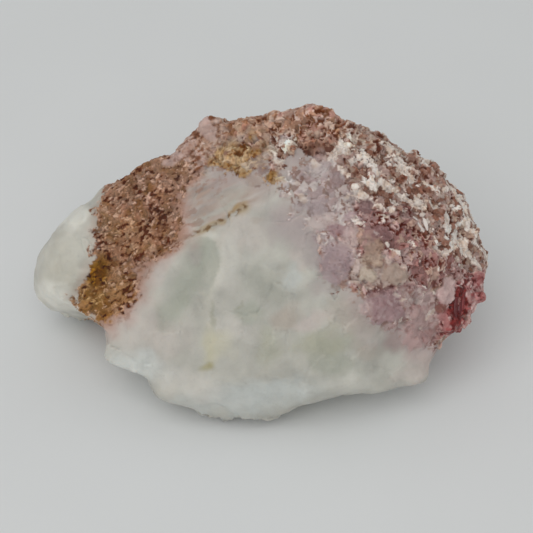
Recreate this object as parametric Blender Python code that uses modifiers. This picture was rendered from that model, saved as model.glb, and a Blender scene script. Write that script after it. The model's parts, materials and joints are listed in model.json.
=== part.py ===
"""A rough lump of milky quartz with granular pink tourmaline, built as the one stone that it is.

The stone is shaped on its back, with its broad quartz face up (+Z) and its long side along X.
It is then tipped forward about X onto the side that it rests on, and stood on the origin.
The tables below are in millimetres in that first position: across (X), up the face (Y) and
out of the face (Z). Everything that Blender is given is in metres.
"""

import math

import bmesh
import bpy
import numpy as np
from mathutils import Matrix, Vector, noise

MM = 0.001

# Resting position
FACE_LEAN = math.radians(48.0)  # how far the broad face is tipped up from lying flat
FLOOR_LEVEL = -21.6  # height of the resting surface under the face's own origin, once tipped
CONTACT_PATCHES = (  # across, depth from front to back and radius of the flats that it rests on
    (-16.0, -1.0, 5.0),
    (15.0, -3.0, 5.5),
    (-8.0, 14.0, 5.0),
    (12.0, 14.0, 4.5),
    (0.0, 4.0, 7.0),
)
HOLLOW_UNDERSIDE = 1.3  # how far the underside rises between the flats
FLAT_WITHIN = 0.12  # what lies this near the resting surface is on it

# Outline of the main mass seen square on to its face: across, up, and level of the rim
BODY_RIM = (
    (-31.6, -7.4, -5.0),
    (-29.8, -4.6, -1.0),
    (-28.2, 0.8, 0.5),
    (-28.6, 5.7, 0.0),
    (-28.2, 10.9, -3.0),
    (-23.6, 14.8, -3.0),
    (-18.5, 17.3, -2.0),
    (-14.7, 18.5, -1.0),
    (-12.2, 21.2, 0.0),
    (-10.0, 24.2, 1.0),
    (-6.4, 23.4, 0.0),
    (2.6, 24.2, 0.0),
    (6.5, 25.6, 0.5),
    (10.0, 25.2, 0.0),
    (13.3, 23.2, 0.0),
    (19.0, 20.9, -1.0),
    (28.2, 15.9, -3.0),
    (32.6, 11.8, -4.0),
    (35.8, 5.9, -5.0),
    (38.3, -0.3, -6.0),
    (37.2, -4.6, -6.0),
    (35.6, -7.3, -5.0),
    (33.1, -11.6, -4.0),
    (29.7, -13.2, -2.0),
    (27.8, -15.8, -1.0),
    (26.5, -18.7, 0.0),
    (22.5, -21.2, 0.0),
    (10.8, -22.2, 1.0),
    (5.9, -23.6, 1.0),
    (2.6, -26.0, 0.0),
    (-0.3, -26.3, 0.0),
    (-4.4, -24.8, 1.0),
    (-8.0, -26.0, 1.0),
    (-16.3, -22.9, 1.0),
    (-17.8, -21.3, 2.0),
    (-18.1, -19.5, 3.0),
    (-26.1, -16.8, 3.0),
    (-26.4, -14.6, 3.0),
    (-25.6, -12.0, 2.0),
    (-27.2, -11.0, 1.0),
    (-29.2, -9.7, -2.0),
)
BODY_CENTRE = (0.0, 0.0)
BODY_FRONT, BODY_BACK = 15.0, 33.0  # height of the dome over the rim and depth behind it

# Outline of the quartz lump that stands out behind the left end
LUMP_RIM = (
    (-39.6, -1.7, -13.0),
    (-38.8, 2.2, -13.0),
    (-36.8, 6.0, -12.5),
    (-33.4, 9.8, -12.0),
    (-29.0, 12.2, -11.5),
    (-24.0, 14.4, -12.0),
    (-15.0, 12.0, -12.0),
    (-9.0, 4.0, -13.0),
    (-10.0, -7.0, -14.0),
    (-18.0, -12.6, -15.0),
    (-27.2, -11.2, -15.0),
    (-32.0, -10.0, -15.0),
    (-36.6, -8.6, -14.5),
    (-39.2, -6.0, -14.0),
)
LUMP_CENTRE = (-24.0, 0.0)
LUMP_FRONT, LUMP_BACK = 12.0, 17.0

# Fracture faces struck off the stone: a point on each, and the way that it faces
FRACTURES = (
    ((5.0, -10.0, 12.0), (0.06, -0.26, 1.0)),
    ((-15.0, -8.0, 9.6), (-0.36, -0.14, 1.0)),
    ((0.0, -21.0, 7.2), (0.02, -0.85, 0.8)),
    ((-21.0, 4.0, 7.0), (-0.26, 0.14, 1.0)),
    ((0.0, 17.0, 9.4), (-0.04, 0.52, 1.0)),
    ((31.0, 1.0, 3.2), (0.9, 0.0, 0.8)),
    ((20.0, 12.0, 6.8), (0.36, 0.44, 1.0)),
    ((24.0, -12.0, 5.6), (0.52, -0.46, 0.9)),
    ((0.0, 20.0, -15.0), (0.08, 0.8, -0.6)),
    ((22.0, 9.0, -19.0), (0.62, 0.4, -0.7)),
    ((-21.0, 9.0, -19.0), (-0.45, 0.5, -0.74)),
    ((27.0, -9.0, -12.0), (0.62, -0.6, -0.5)),
    ((-36.0, 0.0, -21.0), (-0.7, 0.0, -0.7)),
    ((-30.0, 4.0, -3.6), (-0.3, 0.2, 1.0)),
)
EDGE_ROUNDING = 1.2  # how softly a fracture face runs into its neighbours

# Chips out of the quartz face: outline square on, depth, and the width of the slope into it
CHIPS = (
    (((-8.0, 3.9), (-9.0, -0.6), (-9.3, -6.6), (-10.0, -12.3), (-13.0, -15.3), (-17.1, -13.1),
      (-18.7, -8.5), (-17.1, -4.1), (-14.1, -0.3), (-11.2, 2.6)), 1.1, 3.2),
    (((-3.4, -0.4), (-0.3, -1.6), (3.4, -6.6), (2.6, -14.0), (-0.3, -16.4), (-3.9, -13.1),
      (-5.3, -8.2), (-4.6, -4.1)), 0.7, 2.4),
    (((5.9, -13.1), (10.8, -11.2), (17.1, -12.3), (17.7, -18.4), (11.7, -20.5), (6.7, -18.4)),
     0.7, 2.6),
    (((-24.4, -12.5), (-19.5, -11.0), (-17.8, -15.5), (-19.0, -20.0), (-26.0, -16.5)), 0.8, 1.6),
    (((18.2, -9.8), (22.6, -10.6), (24.8, -14.4), (21.4, -17.2), (18.4, -14.8)), 0.6, 1.2),
)

# Cracks: the line of each square on, its depth and its half width
CRACKS = (
    (((-22.3, -0.4), (-14.0, 3.2), (-9.7, 5.0), (-3.1, 8.7)), 0.9, 0.9),
    (((-9.2, -6.6), (-9.6, -11.5), (-8.5, -17.6)), 0.6, 0.8),
)

# Granular parts of the face, as outlines seen square on; the rest is massive quartz
BAND = (
    (-32.5, -7.2), (-29.4, -4.2), (-28.6, 0.8), (-29.0, 11.5), (-22.0, 18.0), (-14.0, 21.0),
    (-12.6, 12.3), (-12.8, 7.2), (-13.6, 3.6), (-16.2, 1.6), (-19.0, -1.3), (-21.2, -5.2),
    (-24.0, -8.6), (-26.9, -11.2), (-30.0, -10.6),
)
CRUST = (
    (-14.5, 17.5), (-14.0, 30.0), (42.0, 30.0), (44.0, -16.0), (29.0, -13.6), (25.0, -12.2),
    (18.0, -10.6), (17.0, -6.6), (13.4, -4.0), (13.0, 0.4), (10.0, 3.4), (10.8, 6.2),
    (5.9, 8.5), (5.6, 11.5), (4.2, 13.5), (-0.4, 12.8), (-2.4, 14.8), (-8.0, 13.6),
    (-12.2, 14.6),
)

# Relief
FIRST_SKIN, LAST_SKIN = 0.6, 0.36  # edges of the even skins laid before and after the relief
SKIN_FACES = 7600  # triangles left once flat stretches are thinned out
GRAIN_SPACING, GRAIN_TILT, GRAIN_STEP = 2.2, 0.4, 0.36  # granular parts
LEDGE_SPACING, LEDGE_TILT, LEDGE_STEP = 8.5, 0.06, 0.06  # quartz
SWELL_SIZE, SWELL_HEIGHT = 9.0, 0.7  # slow rise and fall of the whole surface
LUMP_SIZE, LUMP_HEIGHT = 3.4, 0.55  # crumbling of the granular parts
CRUST_SINK = 0.6  # the granular parts have weathered back below the quartz

# Crystals that stand out of the crust, with their feet buried in it
COLUMNS = {  # red tourmaline, side by side down the right end
    "first": (30.0, -9.2), "last": (34.8, -5.4), "count": 6,
    "length": (5.5, 8.0), "radius": (1.0, 1.6), "taper": 0.85, "slant": 0.12, "sunk": 0.3,
}
BLADES = {  # albite, scattered in the upper right of the crust
    "within": ((1.0, 21.0), (12.0, 21.5), (28.0, 14.0), (35.0, 4.0), (34.0, -1.0), (24.0, 4.0),
               (14.0, 10.0), (3.0, 15.0)),
    "count": 16, "length": (2.6, 4.2), "width": (1.4, 2.2), "thickness": (0.7, 1.0),
    "taper": 0.8, "upright": 0.45,
}
STUBS = {  # short quartz and tourmaline prisms, end on, all over the crust
    "within": CRUST, "count": 22, "radius": (0.9, 1.6), "length": (2.2, 3.0), "taper": 0.75,
    "sunk": 0.3,
}
SCATTER_MARGIN = 0.8  # the scattered crystals keep this far inside their outline
SCATTER_REACH = (36.0, 24.0)  # and lie no further across or up than this
KNOB_SUNK = 0.45  # share of its radius by which a knob's middle lies under the surface
KNOBS = (  # rounded grains: across, up and radius
    (21.6, -2.2, 2.1),
    (29.9, -5.2, 1.8),
    (-9.4, 20.6, 2.2),
    (7.4, 24.0, 1.7),
    (11.6, 22.6, 1.4),
    (-17.6, 7.0, 1.4),
)

SEED = 7


def ray_to_rim(rim, centre, directions):
    """How far each direction runs from the centre to the outline, and the rim's level there."""
    points = np.array(rim)
    start = points[:, :2] - np.array(centre)
    edge = np.roll(start, -1, axis=0) - start
    level = points[:, 2]
    rise = np.roll(level, -1) - level
    dx, dy = directions[:, :1], directions[:, 1:]
    turn = dx * edge[:, 1] - dy * edge[:, 0]
    turn = np.where(np.abs(turn) < 1e-9, 1e-9, turn)
    reach = (start[:, 0] * edge[:, 1] - start[:, 1] * edge[:, 0]) / turn
    along = (start[:, 0] * dy - start[:, 1] * dx) / turn
    hit = (reach > 0) & (along >= -1e-6) & (along <= 1 + 1e-6)
    first = np.where(hit, reach, 0).argmax(axis=1)
    row = np.arange(len(directions))
    return reach[row, first], level[first] + rise[first] * along[row, first]


def pebble(name, rim, centre, front, back):
    """A closed dome on both sides of an outline, from an icosphere pressed out to it."""
    shell = bmesh.new()
    bmesh.ops.create_icosphere(shell, subdivisions=6, radius=1.0)
    unit = np.array([vert.co for vert in shell.verts])
    spread = np.hypot(unit[:, 0], unit[:, 1])
    directions = unit[:, :2] / np.maximum(spread, 1e-6)[:, None]
    directions[spread < 1e-6] = (1.0, 0.0)
    reach, level = ray_to_rim(rim, centre, directions)
    height = np.abs(unit[:, 2]) ** 0.85 * np.where(unit[:, 2] > 0, front, -back)
    plan = directions * (reach * spread)[:, None] + np.array(centre)
    middle = float(np.mean([point[2] for point in rim]))
    out = middle + (level - middle) * spread**2 + height
    for vert, across, outward in zip(shell.verts, plan, out):
        vert.co = Vector((across[0], across[1], outward)) * MM
    mesh = bpy.data.meshes.new(name)
    shell.to_mesh(mesh)
    shell.free()
    return mesh


def one_mesh(name, meshes):
    both = bmesh.new()
    for mesh in meshes:
        both.from_mesh(mesh)
    mesh = bpy.data.meshes.new(name)
    both.to_mesh(mesh)
    both.free()
    return mesh


def apply_modifiers(stone):
    graph = bpy.context.evaluated_depsgraph_get()
    evaluated = bpy.data.meshes.new_from_object(stone.evaluated_get(graph))
    stone.modifiers.clear()
    stone.data = evaluated


def lay_even_skin(stone, edge):
    """One closed skin of even squares over shapes that run into each other or fold."""
    remesh = stone.modifiers.new("Even skin", "REMESH")
    remesh.mode = "VOXEL"
    remesh.voxel_size = edge * MM
    apply_modifiers(stone)


def points_of(mesh):
    found = np.empty(len(mesh.vertices) * 3, np.float32)
    mesh.vertices.foreach_get("co", found)
    return found.reshape(-1, 3).astype(float) / MM


def normals_of(mesh):
    found = np.empty(len(mesh.vertices) * 3, np.float32)
    mesh.vertices.foreach_get("normal", found)
    return found.reshape(-1, 3).astype(float)


def move_points(mesh, points):
    mesh.vertices.foreach_set("co", (points * MM).astype(np.float32).ravel())
    mesh.update()


def noise_at(points, size):
    """Smooth noise from -1 to 1 with bumps of about the given size."""
    return np.array([noise.noise(Vector(point) / size) for point in points])


def strike_fractures(points):
    """Presses back whatever stands out beyond a fracture face, with a softened edge."""
    for on_face, facing in FRACTURES:
        normal = np.array(facing) / np.linalg.norm(facing)
        beyond = (points - np.array(on_face)) @ normal
        soft = np.where(
            beyond > EDGE_ROUNDING,
            beyond,
            np.where(
                beyond < -EDGE_ROUNDING,
                0.0,
                (beyond + EDGE_ROUNDING) ** 2 / (4 * EDGE_ROUNDING),
            ),
        )
        points = points - soft[:, None] * normal
    return points


def gap_to_line(line, points, closed):
    """Distance of each point from a line of straight stretches, seen square on."""
    start = np.array(line)
    edge = np.roll(start, -1, axis=0) - start
    if not closed:
        start, edge = start[:-1], edge[:-1]
    away = points[:, None, :2] - start
    share = np.clip((away * edge).sum(2) / (edge**2).sum(1), 0, 1)
    return np.linalg.norm(away - share[..., None] * edge, axis=2).min(axis=1)


def depth_inside(outline, points):
    """Distance of each point inside an outline seen square on, negative outside it."""
    start = np.array(outline)
    following = np.roll(start, -1, axis=0)
    rise = following[:, 1] - start[:, 1]
    rise = np.where(np.abs(rise) < 1e-9, 1e-9, rise)
    above = start[:, 1] > points[:, 1:2]
    next_above = following[:, 1] > points[:, 1:2]
    crossing = start[:, 0] + (points[:, 1:2] - start[:, 1]) / rise * (following - start)[:, 0]
    crossed = (above != next_above) & (points[:, 0:1] < crossing)
    odd = crossed.sum(axis=1) % 2 == 1
    gap = gap_to_line(outline, points, closed=True)
    return np.where(odd, gap, -gap)


def granular_share(points):
    """1 in the granular parts, 0 in the quartz, with a ragged edge a millimetre wide."""
    depth = np.maximum(depth_inside(BAND, points), depth_inside(CRUST, points))
    return np.clip(depth + 1.6 * noise_at(points, 2.2) + 0.5, 0, 1)


def chips_and_cracks(points, normals):
    """How far the quartz face is struck back at each point."""
    facing_out = np.clip(normals[:, 2] * 2, 0, 1)
    cut = np.zeros(len(points))
    ragged = 0.5 * noise_at(points, 1.7)
    for outline, depth, slope in CHIPS:
        share = np.clip((depth_inside(outline, points) + ragged) / slope, 0, 1)
        cut = np.maximum(cut, depth * (1 - (1 - share) ** 2))
    for line, depth, half_width in CRACKS:
        share = np.clip(1 - gap_to_line(line, points, closed=False) / half_width, 0, 1)
        cut = np.maximum(cut, depth * share)
    return cut * facing_out


def mosaic(points, normals, spacing, tilt, step, seed):
    """Height of a surface broken along grains: one flat face a grain, tilted and stepped."""
    chance = np.random.default_rng(seed)
    low, high = points.min(axis=0) - spacing, points.max(axis=0) + spacing
    counts = np.ceil((high - low) / spacing).astype(int)
    shape = (*counts, 3)
    jitter = chance.uniform(0, 1, shape)
    lean = chance.uniform(-tilt, tilt, shape)
    lift = chance.uniform(-step, step, tuple(counts))
    cell = np.floor((points - low) / spacing).astype(int)
    best = np.full(len(points), np.inf)
    height = np.zeros(len(points))
    for offset in np.ndindex(3, 3, 3):
        near = np.clip(cell + np.array(offset) - 1, 0, counts - 1)
        index = tuple(near.T)
        grain = low + (near + jitter[index]) * spacing
        away = points - grain
        distance = (away**2).sum(axis=1)
        along = away - (away * normals).sum(axis=1)[:, None] * normals
        face = (along * lean[index]).sum(axis=1) + lift[index]
        closer = distance < best
        best = np.where(closer, distance, best)
        height = np.where(closer, face, height)
    return height


def roughen(mesh):
    points, normals = points_of(mesh), normals_of(mesh)
    granular = granular_share(points)
    grains = mosaic(points, normals, GRAIN_SPACING, GRAIN_TILT, GRAIN_STEP, SEED)
    grains += LUMP_HEIGHT * noise_at(points, LUMP_SIZE) - CRUST_SINK
    ledges = mosaic(points, normals, LEDGE_SPACING, LEDGE_TILT, LEDGE_STEP, SEED + 1)
    ledges -= chips_and_cracks(points, normals)
    height = SWELL_HEIGHT * noise_at(points, SWELL_SIZE)
    height += granular * grains + (1 - granular) * ledges
    move_points(mesh, points + height[:, None] * normals)


def tip_up(mesh):
    mesh.transform(Matrix.Rotation(FACE_LEAN, 4, "X"))


def seat_on_floor(mesh):
    """Breaks the underside off at the floor, flat where it touches and hollow between."""
    points = points_of(mesh)
    gaps = [
        np.hypot(points[:, 0] - across, points[:, 1] - back) - radius
        for across, back, radius in CONTACT_PATCHES
    ]
    clear = np.clip(np.min(gaps, axis=0) / 6.0, 0, 1)
    rough = 0.6 + 0.8 * noise_at(points, 3.0)
    floor = FLOOR_LEVEL + HOLLOW_UNDERSIDE * clear * np.maximum(rough, 0)
    points[:, 2] = np.maximum(points[:, 2], floor)
    move_points(mesh, points)


def thin_out(stone):
    """Fewer triangles where the surface is nearly flat."""
    decimate = stone.modifiers.new("Thin out", "DECIMATE")
    decimate.ratio = SKIN_FACES / (2 * len(stone.data.polygons))
    apply_modifiers(stone)


def foot(stone, across, up):
    """Where a line square on to the face meets the tipped stone, and the surface's facing."""
    lean = Matrix.Rotation(FACE_LEAN, 4, "X")
    start = lean @ (Vector((across, up, BODY_BACK + BODY_FRONT)) * MM)
    hit, place, normal, _ = stone.ray_cast(start, lean @ Vector((0, 0, -1)))
    return (place, normal) if hit else (None, None)


def prism(radius, length, taper, sides=6):
    """A column along Z about the origin, with a narrower top."""
    shape = bmesh.new()
    bmesh.ops.create_cone(
        shape,
        cap_ends=True,
        segments=sides,
        radius1=radius * MM,
        radius2=radius * taper * MM,
        depth=length * MM,
    )
    return shape


def grain(radius, chance):
    """A rounded but faceted grain about the origin."""
    shape = bmesh.new()
    bmesh.ops.create_icosphere(shape, subdivisions=1, radius=radius * MM)
    for vert in shape.verts:
        vert.co *= chance.uniform(0.85, 1.1)
    return shape


def blade(length, width, thickness, taper):
    """A flat plate about the origin, longest along Z, with a narrower top."""
    shape = prism(math.sqrt(0.5), 1.0, taper, sides=4)
    square = Matrix.Rotation(math.pi / 4, 4, "Z")
    flat = Matrix.Diagonal((width, thickness, length, 1.0))
    bmesh.ops.transform(shape, matrix=flat @ square, verts=shape.verts)
    return shape


def plant(shape, name, place, axis, turn, crystals):
    """Sets a shape's own Z along an axis at a place, and adds it to the crystals."""
    stand = Vector(axis).normalized().to_track_quat("Z", "Y").to_matrix().to_4x4()
    stand = Matrix.Translation(place) @ stand @ Matrix.Rotation(turn, 4, "Z")
    bmesh.ops.transform(shape, matrix=stand, verts=shape.verts)
    mesh = bpy.data.meshes.new(name)
    shape.to_mesh(mesh)
    shape.free()
    crystal = bpy.data.objects.new(name, mesh)
    crystal.hide_render = True
    crystal.display_type = "WIRE"
    crystals.objects.link(crystal)


def plant_columns(stone, chance, crystals):
    up_face = Matrix.Rotation(FACE_LEAN, 4, "X") @ Vector((0, 1, 0))
    first, last = Vector(COLUMNS["first"]), Vector(COLUMNS["last"])
    for number in range(COLUMNS["count"]):
        spot = first.lerp(last, number / (COLUMNS["count"] - 1))
        place, normal = foot(stone, spot.x, spot.y + chance.uniform(-1.5, 1.5))
        radius = chance.uniform(*COLUMNS["radius"])
        slant = COLUMNS["slant"] * chance.uniform(-1, 1)
        axis = up_face - normal * up_face.dot(normal) + slant * normal
        axis.x += slant
        shape = prism(radius, chance.uniform(*COLUMNS["length"]), COLUMNS["taper"])
        sunk = place - normal * radius * COLUMNS["sunk"] * MM
        plant(shape, "tourmaline", sunk, axis, chance.uniform(0, 1), crystals)


def scattered(stone, within, count, chance):
    """Feet spread at random inside an outline, on the side that faces out."""
    outline = np.array(within)
    low, high = outline.min(axis=0), np.minimum(outline.max(axis=0), SCATTER_REACH)
    found = []
    while len(found) < count:
        across, up = chance.uniform(low, high)
        if depth_inside(within, np.array([[across, up]]))[0] < SCATTER_MARGIN:
            continue
        place, normal = foot(stone, across, up)
        if place is not None:
            found.append((place, normal))
    return found


def plant_blades(stone, chance, crystals):
    feet = scattered(stone, BLADES["within"], BLADES["count"], chance)
    for place, normal in feet:
        shape = blade(
            chance.uniform(*BLADES["length"]),
            chance.uniform(*BLADES["width"]),
            chance.uniform(*BLADES["thickness"]),
            BLADES["taper"],
        )
        axis = normal * BLADES["upright"] + Vector(chance.uniform(-1, 1, 3))
        plant(shape, "albite", place, axis, chance.uniform(0, 3), crystals)


def plant_stubs(stone, chance, crystals):
    feet = scattered(stone, STUBS["within"], STUBS["count"], chance)
    for place, normal in feet:
        length = chance.uniform(*STUBS["length"])
        shape = prism(chance.uniform(*STUBS["radius"]), length, STUBS["taper"])
        axis = normal + Vector(chance.uniform(-0.5, 0.5, 3))
        sunk = place - normal * length * STUBS["sunk"] * MM
        plant(shape, "stub", sunk, axis, chance.uniform(0, 1), crystals)


def plant_knobs(stone, chance, crystals):
    for across, up, radius in KNOBS:
        place, normal = foot(stone, across, up)
        sunk = place - normal * radius * KNOB_SUNK * MM
        plant(grain(radius, chance), "knob", sunk, normal, 0.0, crystals)


def grow_crystals(stone):
    """Joins the crystals to the stone, as they grew."""
    crystals = bpy.data.collections.new("crystals, joined to the stone")
    chance = np.random.default_rng(SEED)
    plant_columns(stone, chance, crystals)
    plant_blades(stone, chance, crystals)
    plant_stubs(stone, chance, crystals)
    plant_knobs(stone, chance, crystals)
    union = stone.modifiers.new("Crystals", "BOOLEAN")
    union.operation = "UNION"
    union.operand_type = "COLLECTION"
    union.collection = crystals
    union.solver = "EXACT"
    apply_modifiers(stone)
    for crystal in list(crystals.objects):
        bpy.data.objects.remove(crystal)
    bpy.data.collections.remove(crystals)


def stand_on_origin(mesh):
    """Puts the resting surface at zero, under the middle of the stone, and trues its flats."""
    points = points_of(mesh)
    low, high = points.min(axis=0), points.max(axis=0)
    points -= ((low[0] + high[0]) / 2, (low[1] + high[1]) / 2, FLOOR_LEVEL)
    points[points[:, 2] < FLAT_WITHIN, 2] = 0.0
    move_points(mesh, points)


def stone_material():
    material = bpy.data.materials.new("milky_quartz_with_tourmaline")
    material.use_nodes = True
    shader = material.node_tree.nodes["Principled BSDF"]
    shader.inputs["Base Color"].default_value = (0.52, 0.42, 0.38, 1.0)
    shader.inputs["Roughness"].default_value = 0.55
    shader.inputs["Metallic"].default_value = 0.0
    return material


def build():
    for old in list(bpy.data.objects):
        bpy.data.objects.remove(old)
    parts = bpy.data.collections.new("pink tourmaline with quartz")
    bpy.context.scene.collection.children.link(parts)
    body = pebble("body", BODY_RIM, BODY_CENTRE, BODY_FRONT, BODY_BACK)
    lump = pebble("lump", LUMP_RIM, LUMP_CENTRE, LUMP_FRONT, LUMP_BACK)
    stone = bpy.data.objects.new("stone", one_mesh("stone", (body, lump)))
    parts.objects.link(stone)
    lay_even_skin(stone, FIRST_SKIN)
    move_points(stone.data, strike_fractures(points_of(stone.data)))
    roughen(stone.data)
    tip_up(stone.data)
    seat_on_floor(stone.data)
    lay_even_skin(stone, LAST_SKIN)
    thin_out(stone)
    grow_crystals(stone)
    stand_on_origin(stone.data)
    stone.data.materials.append(stone_material())


build()
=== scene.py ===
import json
import math

import bmesh
import bpy
import numpy as np
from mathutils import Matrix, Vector
from mathutils.bvhtree import BVHTree

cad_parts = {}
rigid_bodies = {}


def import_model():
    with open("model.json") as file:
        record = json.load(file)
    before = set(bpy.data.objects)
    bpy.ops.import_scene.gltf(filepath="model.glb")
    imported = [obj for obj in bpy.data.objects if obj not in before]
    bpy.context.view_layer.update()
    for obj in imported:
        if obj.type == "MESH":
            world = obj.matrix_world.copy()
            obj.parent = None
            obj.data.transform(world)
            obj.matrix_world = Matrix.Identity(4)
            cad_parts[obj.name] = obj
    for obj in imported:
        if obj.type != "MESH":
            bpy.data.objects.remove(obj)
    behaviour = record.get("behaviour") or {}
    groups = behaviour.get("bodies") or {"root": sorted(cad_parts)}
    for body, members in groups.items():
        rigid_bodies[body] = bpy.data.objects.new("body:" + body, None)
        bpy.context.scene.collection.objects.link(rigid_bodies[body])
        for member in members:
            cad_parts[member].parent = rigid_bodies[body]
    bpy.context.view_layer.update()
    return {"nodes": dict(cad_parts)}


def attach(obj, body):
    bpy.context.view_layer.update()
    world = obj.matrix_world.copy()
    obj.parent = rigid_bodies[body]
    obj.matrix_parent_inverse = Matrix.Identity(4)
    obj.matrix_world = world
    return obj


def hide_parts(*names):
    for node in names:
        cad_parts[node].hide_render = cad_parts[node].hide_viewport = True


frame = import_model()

scene = bpy.context.scene
stone = frame["nodes"]["stone"]

# the broad quartz face leans back: its own axes run across, up the face and out of it, in mm
face = {
    "lean": 48.0,
    "middle": (0.775, -4.217, 21.6),
    "drawnFrom": (0.41, -1.07, 280.0),  # the outlines below are drawn as seen from this point
}
roomLight = 0.7  # what a pale matt surface on the face sends back under these lamps

lean = math.radians(face["lean"])
faceAxes = np.array(((1, 0, 0), (0, math.cos(lean), math.sin(lean)), (0, -math.sin(lean), math.cos(lean))))
eye = np.array(face["drawnFrom"])


def toFace(points):
    return (points - np.array(face["middle"])) @ faceAxes.T


def toStone(points):
    return points @ faceAxes + np.array(face["middle"])


def onDrawing(points):
    stretch = eye[2] / (eye[2] - points[:, 2])
    return eye[:2] + (points[:, :2] - eye[:2]) * stretch[:, None]


# screen colour of a finish under the lamps, turned into its own reflectance
def paint(red, green, blue):
    shown = (np.array((red, green, blue)) / 255) ** 2.2 / roomLight
    return shown * min(1.0, 0.92 / shown.max())


noiseCells = 24  # the noise repeats after this many cells
noiseShift = 57.3  # cells between its start and the middle of the face


def noiseAt(points, size, seed):
    lattice = np.random.default_rng(seed).uniform(-1, 1, (noiseCells, noiseCells, noiseCells))
    at = points / size + noiseShift
    cell = np.floor(at).astype(int)
    part = at - cell
    part = part * part * (3 - 2 * part)
    total = np.zeros(len(points))
    for corner in np.ndindex(2, 2, 2):
        index = (cell + corner) % noiseCells
        weight = np.prod(np.where(corner, part, 1 - part), axis=1)
        total += weight * lattice[index[:, 0], index[:, 1], index[:, 2]]
    return total


# several noises in one; each layer is a strength, a size in mm and a seed
def noises(points, *layers):
    return sum(strength * noiseAt(points, size, seed) for strength, size, seed in layers)


def rise(values, low, high):
    part = np.clip((values - low) / (high - low), 0, 1)
    return part * part * (3 - 2 * part)


def gapToLine(line, places):
    nearest = np.full(len(places), 1e9)
    for start, end in zip(line[:-1], line[1:]):
        start, end = np.array(start), np.array(end)
        run = end - start
        along = np.clip((places - start) @ run / (run @ run), 0, 1)
        away = places - start - along[:, None] * run
        nearest = np.minimum(nearest, np.hypot(away[:, 0], away[:, 1]))
    return nearest


# how far inside an outline each place is, in mm; negative outside
def depthInside(outline, places):
    inside = np.zeros(len(places), bool)
    ring = list(outline) + [outline[0]]
    for (x0, y0), (x1, y1) in zip(ring[:-1], ring[1:]):
        crosses = (y0 > places[:, 1]) != (y1 > places[:, 1])
        slope = (x1 - x0) / (y1 - y0 if y1 != y0 else 1e-9)
        inside ^= crosses & (places[:, 0] < x0 + (places[:, 1] - y0) * slope)
    gap = gapToLine(ring, places)
    return np.where(inside, gap, -gap)


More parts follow.
